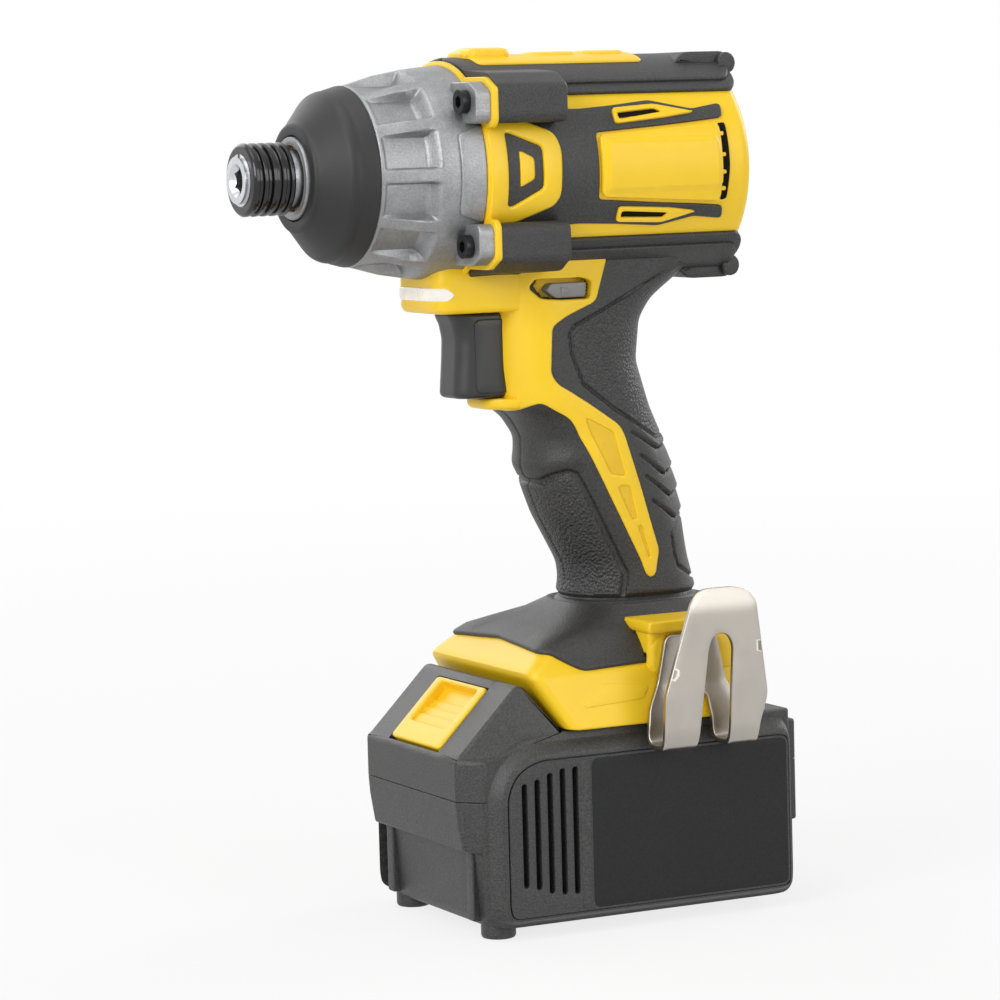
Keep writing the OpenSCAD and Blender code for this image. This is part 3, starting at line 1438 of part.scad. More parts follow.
left_housing();
right_housing();
left_grip();
right_grip();
top_strip();
hammer_case();
nose_boot();
case_screws();
housing_screws();
anvil_bush();
thrust_washer();
anvil();
stop_ring();
collar_spring();
collar_washer();
snap_ring();
detent_balls();
bit_collar();
hammer();
hammer_spring();
spring_seat();
cam_balls();
spindle();
planet_pins();
planet_gear_1();
planet_gear_2();
planet_gear_3();
ring_gear();
gearbox_plate();
spindle_bearing();
front_bearing();
rear_bearing();
motor_shaft();
rotor_core();
fan();
stator();
windings();
lamp_lens();
lamp_board();
trigger();
trigger_switch();
trigger_spring();
direction_selector();
control_board();
switch_leads();
terminal_block();
terminal_blades();
belt_hook();
hook_screw();
hook_inserts();
battery_upper_case();
battery_lower_case();
release_button();
latch_springs();
battery_cells();
cell_holder();
battery_board();
battery_terminals();
battery_screws();
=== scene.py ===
import bmesh
import bpy
import numpy as np
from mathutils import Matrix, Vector
from mathutils.geometry import delaunay_2d_cdt


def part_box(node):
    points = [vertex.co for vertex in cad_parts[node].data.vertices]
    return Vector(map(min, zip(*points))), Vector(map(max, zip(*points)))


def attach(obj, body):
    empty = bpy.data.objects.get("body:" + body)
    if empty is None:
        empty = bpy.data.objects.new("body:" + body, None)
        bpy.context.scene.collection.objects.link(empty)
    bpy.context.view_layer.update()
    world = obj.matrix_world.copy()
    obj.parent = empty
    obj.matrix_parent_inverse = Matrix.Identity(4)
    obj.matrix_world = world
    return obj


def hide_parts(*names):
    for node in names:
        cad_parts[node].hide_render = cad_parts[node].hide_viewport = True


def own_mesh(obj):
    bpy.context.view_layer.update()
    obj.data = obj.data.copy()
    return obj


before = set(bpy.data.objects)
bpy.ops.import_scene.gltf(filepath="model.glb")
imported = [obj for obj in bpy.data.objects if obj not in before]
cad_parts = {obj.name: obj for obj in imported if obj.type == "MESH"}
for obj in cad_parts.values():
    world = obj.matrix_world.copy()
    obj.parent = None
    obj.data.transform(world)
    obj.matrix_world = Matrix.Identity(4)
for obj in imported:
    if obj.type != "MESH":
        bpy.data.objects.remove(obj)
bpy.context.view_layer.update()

# Inner works: steel gears, spindle and hammer, copper windings, boards and cells. They are turned,
# sintered, wound or bought in, and sit sealed in the housing and the battery, so each keeps its
# solid and takes the finish of its real material.


def feed(tree, made, inputs):
    """Sets each input of a shader node to a value, or links it to the socket given for it."""
    for name, value in inputs.items():
        if isinstance(value, bpy.types.NodeSocket):
            tree.links.new(value, made.inputs[name])
        else:
            made.inputs[name].default_value = value


def add(tree, kind, out, inputs, **settings):
    """A new shader node of this kind with its settings and inputs; gives the output named out."""
    made = tree.nodes.new("ShaderNode" + kind)
    for setting, value in settings.items():
        setattr(made, setting, value)
    feed(tree, made, inputs)
    return made.outputs[out]


def finish(name, colour, rough, metal, patch, grain, stretch=1, painted_glint=0, gloss=0.5, leather=""):
    """Colour and roughness wander with a slow noise: patch is its size in millimetres and its share.
    A fine noise gives the bump: grain is its size and its depth in millimetres. It is drawn out along
    X by stretch, and lights and darkens the colour by speck, as painted glints of the grain. Where the
    attribute named by leather is one, the bump turns to leather cells. Gloss is the strength of the mirror
    light."""
    mat = bpy.data.materials.new(name)
    mat.use_nodes = True
    tree = mat.node_tree
    (patch_size, share), (grain_size, depth) = patch, grain
    dark = (*[c * (1 - share) for c in colour], 1)
    light = (*[min(1, c * (1 + share)) for c in colour], 1)
    spread = {"From Min": 0.3, "From Max": 0.7}
    place = add(tree, "TexCoord", "Object", {})
    slow = add(tree, "TexNoise", "Fac", {"Vector": place, "Scale": 1000 / patch_size, "Detail": 5})
    tone = add(tree, "MapRange", "Result", {"Value": slow, **spread})
    tint = add(tree, "Mix", "Result", {"Factor": tone, "A": dark, "B": light}, data_type="RGBA")
    smooth, dull = rough * 0.88, min(1, rough * 1.12)
    sheen = add(tree, "MapRange", "Result", {"Value": slow, "To Min": smooth, "To Max": dull})
    drawn = add(tree, "Mapping", "Vector", {"Vector": place, "Scale": (1 / stretch, 1, 1)})
    fine = add(tree, "TexNoise", "Fac", {"Vector": drawn, "Scale": 1000 / grain_size})
    # Painted glints: the fine noise lights and darkens the colour itself, standing for the grain's glints of
    # light.
    least, most = 1 - painted_glint, 1 + painted_glint
    glint = add(tree, "MapRange", "Result", {"Value": fine, **spread, "To Min": least, "To Max": most})
    shade = add(tree, "VectorMath", "Vector", {0: tint, 1: glint}, operation="MULTIPLY")
    height = fine
    if leather:
        cells = add(tree, "TexVoronoi", "Distance", {"Vector": place, "Scale": 1000 / (1.7 * grain_size)})
        deep = add(tree, "Math", "Value", {0: cells, 1: -2.2}, operation="MULTIPLY")
        mask = add(tree, "Attribute", "Fac", {}, attribute_name=leather)
        height = add(tree, "Mix", "Result", {"Factor": mask, "A": fine, "B": deep})
    bump = add(tree, "Bump", "Normal", {"Distance": depth * 0.001, "Height": height})
    feed(tree, tree.nodes["Principled BSDF"], {
        "Base Color": shade, "Roughness": sheen, "Metallic": metal, "Specular IOR Level": gloss,
        "Normal": bump})
    return mat


def dress(mat, *names):
    """Puts one finish on the solids of these nodes."""
    for name in names:
        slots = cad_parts[name].data.materials
        slots.clear()
        slots.append(mat)


steel = finish("ground_steel", (0.62, 0.63, 0.65), 0.26, 1, patch=(6, 0.06), grain=(0.4, 0.015), stretch=0.2)
gear_steel = finish("sintered_steel", (0.36, 0.37, 0.39), 0.42, 1, patch=(5, 0.12), grain=(0.35, 0.04))
spring_steel = finish("spring_wire", (0.30, 0.30, 0.32), 0.32, 1, patch=(4, 0.10), grain=(0.5, 0.02))
bronze = finish("bush_bronze", (0.58, 0.36, 0.16), 0.40, 1, patch=(4, 0.12), grain=(0.3, 0.03))
copper = finish("enamelled_copper", (0.60, 0.24, 0.09), 0.34, 1, patch=(3, 0.14), grain=(0.35, 0.06),
                stretch=6)
board = finish("green_board", (0.02, 0.16, 0.07), 0.38, 0, patch=(8, 0.14), grain=(0.8, 0.03))
contact = finish("brass_contact", (0.72, 0.52, 0.20), 0.30, 1, patch=(3, 0.10), grain=(0.4, 0.02))
moulded = finish("black_moulding", (0.035, 0.035, 0.037), 0.50, 0, patch=(9, 0.12), grain=(0.45, 0.03))
can = finish("cell_sleeve", (0.05, 0.20, 0.42), 0.36, 0, patch=(16, 0.08), grain=(1.2, 0.02))
dress(steel, "anvil", "stop_ring", "collar_washer", "snap_ring", "thrust_washer", "detent_balls", "cam_balls")
dress(steel, "spindle_bearing", "front_bearing", "rear_bearing", "motor_shaft")
dress(gear_steel, "hammer", "spindle", "spring_seat", "planet_pins", "ring_gear", "rotor_core", "stator")
dress(gear_steel, "planet_gear_1", "planet_gear_2", "planet_gear_3", "gearbox_plate")
dress(spring_steel, "collar_spring")
dress(bronze, "anvil_bush")
dress(copper, "windings")
dress(board, "lamp_board", "control_board", "battery_board")
dress(contact, "terminal_blades", "battery_terminals", "hook_inserts")
dress(moulded, "fan", "trigger_switch", "switch_leads", "terminal_block", "cell_holder")
dress(can, "battery_cells")

# Motor barrel: the rear of the yellow clamshell, two injection-moulded halves of glass-filled
# nylon screwed together round the motor. It is a hollow shell turned about the spindle's axis,
# with a low domed rear end and a thin flange where the hammer case seats.
yellow = finish("yellow_nylon", (0.97, 0.63, 0.012), 0.38, 0, patch=(30, 0.03), grain=(0.3, 0.012))
axis_z = 207.5
barrel_r, bore_r = 29.3, 26.2
flange_x = -38.4


def grid(points):
    """Quads over points in rows and columns; the last column joins the first."""
    index = np.arange(points[..., 0].size).reshape(points.shape[:2])
    beside = np.roll(index, -1, 1)
    quads = np.stack([index[:-1], beside[:-1], beside[1:], index[1:]], -1)
    return points.reshape(-1, 3), quads.reshape(-1, 4).tolist()


def run_of(path):
    """The length along a line of points up to each of them."""
    return np.concatenate([[0], np.cumsum(np.linalg.norm(np.diff(path, axis=0), axis=1))])


def walked(path, step):
    """The same line as points at even steps along it."""
    run = run_of(path)
    at = np.linspace(0, run[-1], max(3, int(run[-1] / step) + 1))
    return np.stack([np.interp(at, run, path[:, k]) for k in range(path.shape[1])], 1)


def softened(line, reach, step):
    """A line of points with each corner run as a parabola over reach, walked in steps."""
    line = np.asarray(line, float)
    way = np.diff(line, axis=0)
    size = np.linalg.norm(way, axis=1, keepdims=True)
    unit = way / size
    cut = np.minimum(reach, 0.49 * np.minimum(size[:-1], size[1:]))
    corner = line[1:-1]
    start, end = (corner - unit[:-1] * cut)[:, None], (corner + unit[1:] * cut)[:, None]
    t = np.linspace(0, 1, 25)[None, :, None]
    bends = (1 - t) ** 2 * start + 2 * t * (1 - t) * corner[:, None] + t ** 2 * end
    return walked(np.concatenate([line[:1], bends.reshape(-1, line.shape[1]), line[-1:]]), step)


def circle(count):
    """Angles at even steps once round."""
    return np.linspace(0, 2 * np.pi, count, endpoint=False)


def spun(x, r, turn):
    """Points at x along the spindle's axis and radius r, turned about the axis."""
    return np.stack([x + 0 * r * turn, r * np.cos(turn), axis_z + r * np.sin(turn)], -1)


def turned(profile, reach=0.5, step=0.8, count=144):
    """A profile of places along X and radii, turned about the spindle's axis."""
    line = softened(profile, reach, step)
    return grid(spun(line[:, :1], line[:, 1:], circle(count)))


def piece(name, parts, mat, body, slot, *stands_for):
    """One object from closed parts in millimetres: welded, turned outwards, smooth but for edges."""
    weld, sharp = 2e-6, np.radians(38)
    faces, start = [], 0
    for points, quads in parts:
        faces += [[k + start for k in face] for face in quads]
        start += len(points)
    mesh = bpy.data.meshes.new(name)
    mesh.from_pydata((np.concatenate([points for points, quads in parts]) * 0.001).tolist(), [], faces)
    form = bmesh.new()
    form.from_mesh(mesh)
    bmesh.ops.remove_doubles(form, verts=form.verts, dist=weld)
    bmesh.ops.dissolve_degenerate(form, edges=form.edges, dist=weld)
    bmesh.ops.recalc_face_normals(form, faces=form.faces)
    form.to_mesh(mesh)
    form.free()
    mesh.shade_smooth()
    mesh.set_sharp_from_angle(angle=sharp)
    mesh.materials.append(mat)
    made = bpy.data.objects.new(name, mesh)
    bpy.context.scene.collection.objects.link(made)
    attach(made, body)
    if stands_for:
        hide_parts(*stands_for)
    return made


barrel = turned([
    (44.4, 0), (44.4, 18), (41, bore_r), (-37.5, bore_r), (-37.5, 28.9), (-36.9, barrel_r), (42, barrel_r),
    (43.8, 28.4), (44.6, 26.2), (46.6, 20.5), (48.2, 9), (48.5, 0)
])
flange = turned([(flange_x, 25), (flange_x, 30.5), (-36.9, 30.5), (-36.9, 25), (flange_x, 25)], 0.3, 0.5)
piece("barrel_shell", [barrel, flange], yellow, "tool", "yellow_plastic", "left_housing", "right_housing")

# Springs: round wire wound cold, seated on flat ends. The hammer, trigger and latch springs shorten
# as their joints move, each towards its fixed end, so they are wound here instead of carried over.


def coil(node, lane, radius, wire, turns, centre):
    """A wire wound about a line along axis lane over the length of a node: the middle of the wire
    climbs evenly with the turn, and circles round it close to a point at both ends."""
    low, high = (1000 * np.array(end)[lane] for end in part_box(node))
    t = np.linspace(0, 2 * np.pi * turns, int(30 * turns))
    climb = low + wire / 2 + (high - low - wire) * t / t[-1]
    t, climb = (np.concatenate([v[:1], v, v[-1:]])[:, None] for v in (t, climb))
    thick = np.full((len(t), 1), wire / 2)
    thick[[0, -1]] = 0
    ring = circle(10)
    reach = radius + thick * np.cos(ring)
    places = [centre[0] + reach * np.cos(t), centre[1] + reach * np.sin(t)]
    places.insert(lane, climb + thick * np.sin(ring))
    return grid(np.stack(places, -1))


def wound(name, node, coils, body):
    """A spring of spring steel wound from the coils, carried by the body in place of the node, with a mesh of
    its own.
    """
    made = piece(name, coils, spring_steel, body, "dark_steel", node)
    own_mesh(made)


hammer_coil = coil("hammer_spring", 0, radius=14.4, wire=2.4, turns=4, centre=(0, axis_z))
trigger_z = 1000 * np.mean(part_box("trigger_spring"), axis=0)[2]
trigger_coil = coil("trigger_spring", 0, radius=4, wire=0.7, turns=5, centre=(0, trigger_z))
latch_r, latch_wire = 3, 0.6
latch_x = 1000 * np.mean(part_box("latch_springs"), axis=0)[0]
latch_y = 1000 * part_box("latch_springs")[1][1] - latch_r - latch_wire / 2
latch_coils = [coil("latch_springs", 2, latch_r, latch_wire, 5, (latch_x, y)) for y in (-latch_y, latch_y)]
wound("hammer_coil", "hammer_spring", [hammer_coil], "spindle")
wound("trigger_coil", "trigger_spring", [trigger_coil], "tool")
wound("latch_coils", "latch_springs", latch_coils, "battery")

# Barrel panels: yellow plates that stand proud between the rubber on each flank, moulded with the
# clamshell: a tapered side panel with a raised flat, a D frame round a window with a core, the rims
# of two vents, studs across the rear gap and the flange behind the case's ears.
rooted = -1.0


def on_barrel(a, b, h):
    """A point at a along X and b along the girth up from the left flank, raised by h."""
    turn, r = b / barrel_r, barrel_r + h
    return np.stack([a + 0 * turn, -r * np.cos(turn), axis_z + r * np.sin(turn)], -1)


def barrel_side(xz):
    """Side-view points as places on the barrel: height over the axis is the sine of the turn."""
    lift = np.clip((xz[:, 1] - axis_z) / (barrel_r + 1), -1, 1)
    return np.stack([xz[:, 0], barrel_r * np.arcsin(lift)], 1)


def facing(lane, start=0, way=1):
    """A carrier on a plane square to axis lane: a and b run along the other two axes, and the height
    runs from start along lane, or against it where way is -1."""
    def on(a, b, h):
        """A point at a and b, raised by h."""
        places = [a + 0 * h, b + 0 * h]
        places.insert(lane, start + way * h + 0 * a)
        return np.stack(places, -1)
    return on


def outline(points, corner, find=None, step=0.9):
    """A closed outline with rounded corners, walked evenly and laid on a carrier, anticlockwise."""
    ring = np.asarray(points, float)
    middle = 0.5 * (ring[-1] + ring[0])
    ring = softened(np.concatenate([ring[-1:], ring, ring[:2]]), corner, 0.25)
    first = np.argmin(np.linalg.norm(ring[: len(ring) // 2] - middle, axis=1))
    ring = ring[first:]
    last = len(ring) // 2 + np.argmin(np.linalg.norm(ring[len(ring) // 2:] - ring[0], axis=1))
    ring = ring[:last]
    if find:
        ring = find(ring)
    ring = walked(np.concatenate([ring, ring[:1]]), step)[:-1]
    turn = np.roll(ring, -1, 0)
    area = np.sum(ring[:, 0] * turn[:, 1] - ring[:, 1] * turn[:, 0])
    return ring if area > 0 else ring[::-1]


def inside(points, loops):
    """True where a ray along the first axis crosses the loops an odd number of times."""
    odd = np.zeros(len(points), bool)
    for loop in loops:
        p, q = loop, np.roll(loop, -1, 0)
        span = (p[:, 1] > points[:, 1:2]) != (q[:, 1] > points[:, 1:2])
        rise = np.where(q[:, 1] == p[:, 1], 1e-9, q[:, 1] - p[:, 1])
        cross = p[:, 0] + (points[:, 1:2] - p[:, 1]) * (q[:, 0] - p[:, 0]) / rise
        odd ^= (span & (points[:, :1] < cross)).sum(1) % 2 == 1
    return odd


def filled(loops, inner):
    """Triangles between the loops and the inner points, by a constrained triangulation."""
    points = np.concatenate([*loops, inner])
    edges, start = [], 0
    for loop in loops:
        k = np.arange(len(loop))
        edges += np.stack([start + k, start + np.roll(k, -1)], 1).tolist()
        start += len(loop)
    flat = [Vector(p) for p in points.tolist()]
    found = delaunay_2d_cdt(flat, edges, [], 0, 1e-6)
    back = np.array([given[0] if given else 0 for given in found[3]])
    tri = back[np.array(found[2])]
    return tri[inside(points[tri].mean(1), loops)]


def slab(on, loops, top, low, edge=0.5, cell=2.2, low_edge=0, profile=None):
    """A moulded plate on a carrier: round each loop a wall runs from low up to a quarter circle
    of radius edge, and a net of triangles closes the plate at top and at low. A profile of insets
    and heights takes the place of the wall on the outer loop."""
    loops = [loops[0]] + [loop[::-1] for loop in loops[1:]]
    arc = np.linspace(0, np.pi / 2, 5)
    wall = (low_edge * (1 - np.sin(arc)), low + low_edge * (1 - np.cos(arc))) if low_edge else ([0], [low])
    plain = [np.concatenate([wall[0], edge * (1 - np.cos(arc))])]
    plain.append(np.concatenate([wall[1], top - edge * (1 - np.sin(arc))]))
    points, faces, rims, feet, start = [], [], [], [], 0
    for loop in loops:
        inset, height = np.asarray(profile, float).T if profile is not None and loop is loops[0] else plain
        way = np.roll(loop, -1, 0) - np.roll(loop, 1, 0)
        way /= np.linalg.norm(way, axis=1, keepdims=True)
        side = np.stack([-way[:, 1], way[:, 0]], 1)
        rings = loop[None] + inset[:, None, None] * side[None]
        tall = np.repeat(height[:, None], len(loop), 1)
        net, quads = grid(on(rings[..., 0], rings[..., 1], tall))
        faces += [[k + start for k in quad] for quad in quads]
        points.append(net)
        rims.append((rings[-1], start + (len(inset) - 1) * len(loop)))
        feet.append((rings[0], start))
        start += len(net)
    lowest, highest = rims[0][0].min(0), rims[0][0].max(0)
    lanes = np.meshgrid(np.arange(lowest[0], highest[0], cell), np.arange(lowest[1], highest[1], cell))
    inner = np.stack(lanes, -1).reshape(-1, 2)
    edge_points = np.concatenate([rim for rim, k in rims])
    inner = inner[inside(inner, [rim for rim, k in rims])]
    if len(inner):
        away = np.linalg.norm(inner[:, None] - edge_points[None], axis=-1).min(1)
        inner = inner[away > 0.55 * cell]
    for ends, level in ((rims, top), (feet, low)):
        number = [k + np.arange(len(rim)) for rim, k in ends] + [start + np.arange(len(inner))]
        faces += np.concatenate(number)[filled([rim for rim, k in ends], inner)].tolist()
        points.append(on(inner[:, 0], inner[:, 1], np.full(len(inner), level)))
        start += len(inner)
    return np.concatenate(points), faces


def plate(on, points, corner, top, low, edge=0.5, find=None, step=0.9, **more):
    """A slab inside one outline: corner rounds the outline, and edge rounds the rim at top."""
    return slab(on, [outline(points, corner, find, step)], top, low, edge, **more)


def oblong(x0, x1, z0, z1):
    """The corners of an upright rectangle, anticlockwise from the lower left."""
    return [(x0, z0), (x1, z0), (x1, z1), (x0, z1)]


def mirrored(parts):
    """The parts and their twins on the right side, with the faces turned round."""
    return parts + [(points * [1, -1, 1], [face[::-1] for face in faces]) for points, faces in parts]


def upside(points):
    """Side-view points mirrored in the spindle's axis, top to bottom."""
    return [(x, 2 * axis_z - z) for x, z in points]


on_cross = facing(0)
side_panel = [(-3.5, 217.1), (34.4, 219.3), (34, 197.7), (-3.3, 200)]
side_flat = [(-1.5, 214.8), (32.6, 214.6), (32.8, 202.4), (-1.6, 202.2)]
flat_edge = [(-1.4, 1.3), (0, 2.1), (0.3, 2.2), (0.6, 2.2)]
d_frame = [
    (-37.6, 222.4), (-29.2, 222.4), (-17.6, 218), (-15.9, 213.8), (-16.2, 200.9), (-18.2, 198.2),
    (-29.2, 194.2), (-37.6, 194.2)
]
d_window = [(-32.4, 218.4), (-30.7, 218.2), (-21.5, 214.3), (-21.4, 203.1), (-30.3, 198.5), (-32.2, 198.4)]
d_core = [(-28.5, 213.6), (-24.1, 211.4), (-24.1, 205.6), (-28.5, 203.4)]
vents = [
    ([(2.2, 224), (15.2, 224.8), (27.8, 222.4), (18.3, 221.2), (2.1, 219.8)],
     [(3.3, 222.7), (15.3, 223.6), (17.4, 222.6), (3.5, 220.9)]),
    ([(2.2, 197.3), (18, 196.5), (27, 195.3), (16.2, 192.6), (2, 193.2)],
     [(3.2, 196.1), (17.9, 195.2), (16.4, 193.9), (3, 194.4)])
]
rear_gap = [(34.5, 219.5), (36.8, 219.6), (36.9, 207.3), (36.3, 198), (34.1, 197.8)]
ear_flange = [(-16.5, 233.3), (-28.9, 233.3), (-34.3, 230.4), (-34.3, 221.4), (-32.6, 219.7), (-18, 219.7)]
d_loops = [outline(d_frame, 2, barrel_side), outline(d_window, 1.2, barrel_side)]
panels = [
    plate(on_barrel, side_panel, 2, 1.4, rooted, 0.6, barrel_side),
    plate(on_barrel, side_flat, 1, 2.2, 0, 1, barrel_side, profile=flat_edge),
    slab(on_barrel, d_loops, 1.8, rooted, 0.7),
    plate(on_barrel, d_core, 0.8, 1.2, rooted, 0.6, barrel_side),
]
for line in (ear_flange, upside(ear_flange)):
    panels.append(plate(on_cross, line, 1, -36.6, flange_x, 0.3, low_edge=0.3))
for rim, hole in vents:
    rim_loops = [outline(rim, 1, barrel_side), outline(hole, 0.5, barrel_side)]
    panels.append(slab(on_barrel, rim_loops, 1.5, rooted, 0.35))
for z in (200.6, 205.2, 210, 215.8):
    panels.append(plate(on_barrel, oblong(33.9, 35.4, z, z + 1.1), 0.3, 1, -0.5, 0.2, barrel_side, 0.4))
piece("barrel_panels", mirrored(panels), yellow, "tool", "yellow_plastic", "left_housing", "right_housing")
# Painted shade: near-black slabs with little mirror light sit in the two vents and the rear gap, standing for
# the shade inside the openings.
painted_vent_shade = finish("vent_shade", (0.008, 0.006, 0.005), 0.8, 0, patch=(2, 0.3), grain=(0.4, 0.03), gloss=0.1)
painted_shade_slabs = [plate(on_barrel, hole, 0.5, 0.85, -0.5, 0.1, barrel_side) for rim, hole in vents]
painted_shade_slabs.append(plate(on_barrel, rear_gap, 0.6, 0.35, -0.8, 0.15, barrel_side))
piece("vent_painted_shade", mirrored(painted_shade_slabs), painted_vent_shade, "tool", "dark_plastic", "left_housing", "right_housing")

# Barrel rubber: soft thermoplastic moulded over the clamshell, about a millimetre thick: a yoke
# with two arms on each flank, ridges along the top and bottom, bevelled towers over the case
# screws, and a bumper with a round end at the rear of each ridge.
# Its colour carries painted glints of the grain.
rubber = finish("grained_rubber", (0.026, 0.026, 0.0255), 0.48, 0, patch=(10, 0.10), grain=(0.5, 0.16),
                painted_glint=0.55, leather="leather")
yoke = [
    (-38, 226), (-14.2, 224.6), (-7.8, 224.4), (2.6, 225.1), (14.7, 226.3), (27.4, 223.6), (36, 224.9),
    (37, 224.4), (36.3, 221), (27, 220.1), (17.3, 219.3), (-4.2, 217.8), (-4, 199.2), (14, 197.8),
    (26.7, 197), (35.3, 196.3), (35.8, 192.6), (26.7, 193.6), (15.9, 191.3), (2, 192.3), (-9.4, 192.8),
    (-14, 192.4), (-38, 190)
]
ridge_x, ridge_high = -36.6, barrel_r * np.pi / 2


def ridge_of(low):
    """A band along the barrel from a girth place up to the top line, and the higher crest on it."""
    ridge = [(42.6, low), (44.6, low + 2.4), (45.4, low + 6), (45.4, ridge_high)]
    crest = [(41.8, low + 3.2), (44.4, low + 6.6), (44.4, ridge_high)]
    return [np.array([(ridge_x, line[0][1]), *line, (ridge_x, ridge_high)]) for line in (ridge, crest)]


ridge, crest = ridge_of(barrel_r * 0.765)
under, keel = [line * [1, -1] for line in ridge_of(barrel_r * 0.672)]
flat_side = facing(1, way=-1)
tower = [(-33.9, 222.2), (-33.9, 231), (-28, 234.4), (-14, 235.2), (-18.4, 220.7), (-32.6, 220.8)]
bumper = [
    (29, 236), (32, 238.7), (34, 239), (44.6, 239), (47.8, 237.8), (48.4, 235.6), (47.6, 233.2),
    (45.2, 232.6), (42.4, 233.6), (39, 235.2)
]
turn = circle(8)
stub = np.stack([45.2 + 3.0 * np.cos(turn), 235.7 + 3.2 * np.sin(turn)], 1)
rubber_parts = [plate(on_barrel, yoke, 1.2, 0.7, rooted, 0.4, barrel_side)]
rubber_parts += [plate(on_barrel, line, 1.5, 1.2, -3.5, 0.6) for line in (ridge, under)]
rubber_parts += [plate(on_barrel, line, 1.5, 2.1, 0, 0.6) for line in (crest, keel)]
rubber_parts += [plate(on_cross, line, 0.9, -15.3, -36.9, 0.9) for line in (tower, upside(tower))]
bumpers = []
for line, end in ((bumper, stub), (upside(bumper), upside(stub))):
    bumpers.append(plate(flat_side, line, 1, 13, -13, 0.7, low_edge=0.7))
    bumpers.append(plate(flat_side, end, 1.2, 15, -15, 0.7, step=0.4, low_edge=0.7))
rubber_parts = mirrored(rubber_parts) + bumpers
piece("barrel_rubber", rubber_parts, rubber, "tool", "grip_rubber", "left_grip", "right_grip")

# Top strip: a separate yellow moulding along the top seam of the barrel, with a round-edged
# knob at the front and two low pads behind it. It clips over both halves.


def on_top(a, b, h):
    """A point at a along X and b along the girth to the left of the top line, raised by h."""
    return on_barrel(a, ridge_high - b, h)


strip = [
    plate(on_top, oblong(x0, x1, -half, half), corner, top, 0.5, edge)
    for x0, x1, half, corner, top, edge in (
        (-31, 20, 11.5, 2, 2.7, 0.6), (-32.4, -24, 5.2, 2, 3.8, 1),
        (-30.4, -18.2, 6.2, 2.4, 4.6, 1.4), (-10, 3, 5, 2.4, 3.2, 0.5), (6, 18, 5, 2.4, 3.3, 0.5))
]
piece("top_strip_moulding", strip, yellow, "tool", "yellow_plastic", "top_strip")

# Hammer case: a bead-blasted aluminium casting round the impact mechanism, with twelve shallow
# pockets between ribs, a plain rear band and four ears for the screws that hold it to the housing.
# Its colour carries faint painted glints of the grain.
cast = finish("cast_aluminium", (0.30, 0.302, 0.308), 0.46, 0.75, patch=(3, 0.08), grain=(0.5, 0.09),
              painted_glint=0.12)
case_front, case_rear, nose_x = -67.4, -37.4, -66.0
case_bore, nose_bore, floor_r = 22, 9, 24.1


def ramp(value, low, high):
    """Nought below low, one above high, and a smooth S between."""
    t = np.clip((value - low) / (high - low), 0, 1)
    return t * t * (3 - 2 * t)


case_x = [np.linspace(case_front, -63.4, 14), np.linspace(-63, -54, 20), np.linspace(-53.7, case_rear, 44)]
case_x = np.concatenate(case_x)[:, None]
turn = circle(480)
outer = np.interp(case_x, [case_front, -66.6, -57, -48, -44, case_rear], [23.5, 24.4, 27, 28.5, 28.9, 29.5])
rib = np.abs((turn / (2 * np.pi) * 12 + 0.5) % 1 - 0.5) * 30
hollow = ramp(rib, 3.4, 5.2) * (ramp(case_x, -66.2, -65.2) * (1 - ramp(case_x, -53.6, -50.2)))
case_net = spun(case_x, outer - hollow * np.clip(outer - floor_r, 0, None), turn)
bore = np.array([
    (case_front, nose_bore), (case_front, case_bore), (case_rear, case_bore), (nose_x, case_bore),
    (nose_x, nose_bore), (case_front, nose_bore)])
rims = spun(bore[:, :1], bore[:, 1:], turn)
case_form = grid(np.concatenate([rims[:2], case_net, rims[2:]]))


def on_case(a, b, h):
    """A point at a along X and b along the girth up from the left flank, raised over the case."""
    r = np.interp(a, [-57, -44, case_rear], [27, 28.9, 29.5]) + h
    turn = b / 29.0
    return np.stack([a + 0 * r, -r * np.cos(turn), axis_z + r * np.sin(turn)], -1)


on_case_rear = facing(0, -37.6, -1)
ear = [(-17.5, 232.1), (-28.4, 232.1), (-33.2, 229.5), (-33.2, 222.3), (-31.8, 220.9), (-20, 220.9)]
panel = [(-45.6, 11), (-38.4, 13.4), (-38.4, -13.4), (-45.6, -11)]
cased = [plate(on_case_rear, line, 1.1, 5.2, -0.2, 0.5) for line in (ear, upside(ear))]
cased.append(plate(on_case, panel, 1.5, 1, -0.6, 0.6))
nose = turned([
    (nose_x, nose_bore), (-82.6, nose_bore), (-82.8, 9.4), (-82.8, 10.9), (-82.5, 11.2), (nose_x, 11.2),
    (nose_x, nose_bore)
], 0.2, 0.5)
piece("hammer_casting", [case_form, nose] + mirrored(cased), cast, "tool", "cast_aluminium", "hammer_case")
black_oxide = finish("black_oxide", (0.022, 0.022, 0.024), 0.30, 0.6, patch=(3, 0.15), grain=(0.4, 0.02))
dress(black_oxide, "case_screws", "housing_screws", "hook_screw", "battery_screws")

# Nose boot: a moulded rubber cap over the front of the hammer case that saves the work from
# scratches. It is turned, with a flat front ring, a cone and a rear band, and stretches on.
boot_rubber = finish("boot_rubber", (0.012, 0.012, 0.013), 0.55, 0, patch=(8, 0.12), grain=(0.5, 0.03))
boot = turned([
    (-67, 11.4), (-81.7, 11.4), (-82.1, 11.8), (-82.1, 14.2), (-81.7, 14.9), (-80.9, 15.2), (-74.6, 22.6),
    (-73.2, 23.2), (-71.6, 23.3), (-71, 23.6), (-67.4, 24.6), (-66.8, 24.1), (-66.8, 22), (-67, 22),
    (-67, 11.4)
], 0.5, 0.5)
piece("nose_cap", [boot], boot_rubber, "tool", "boot_rubber", "nose_boot")

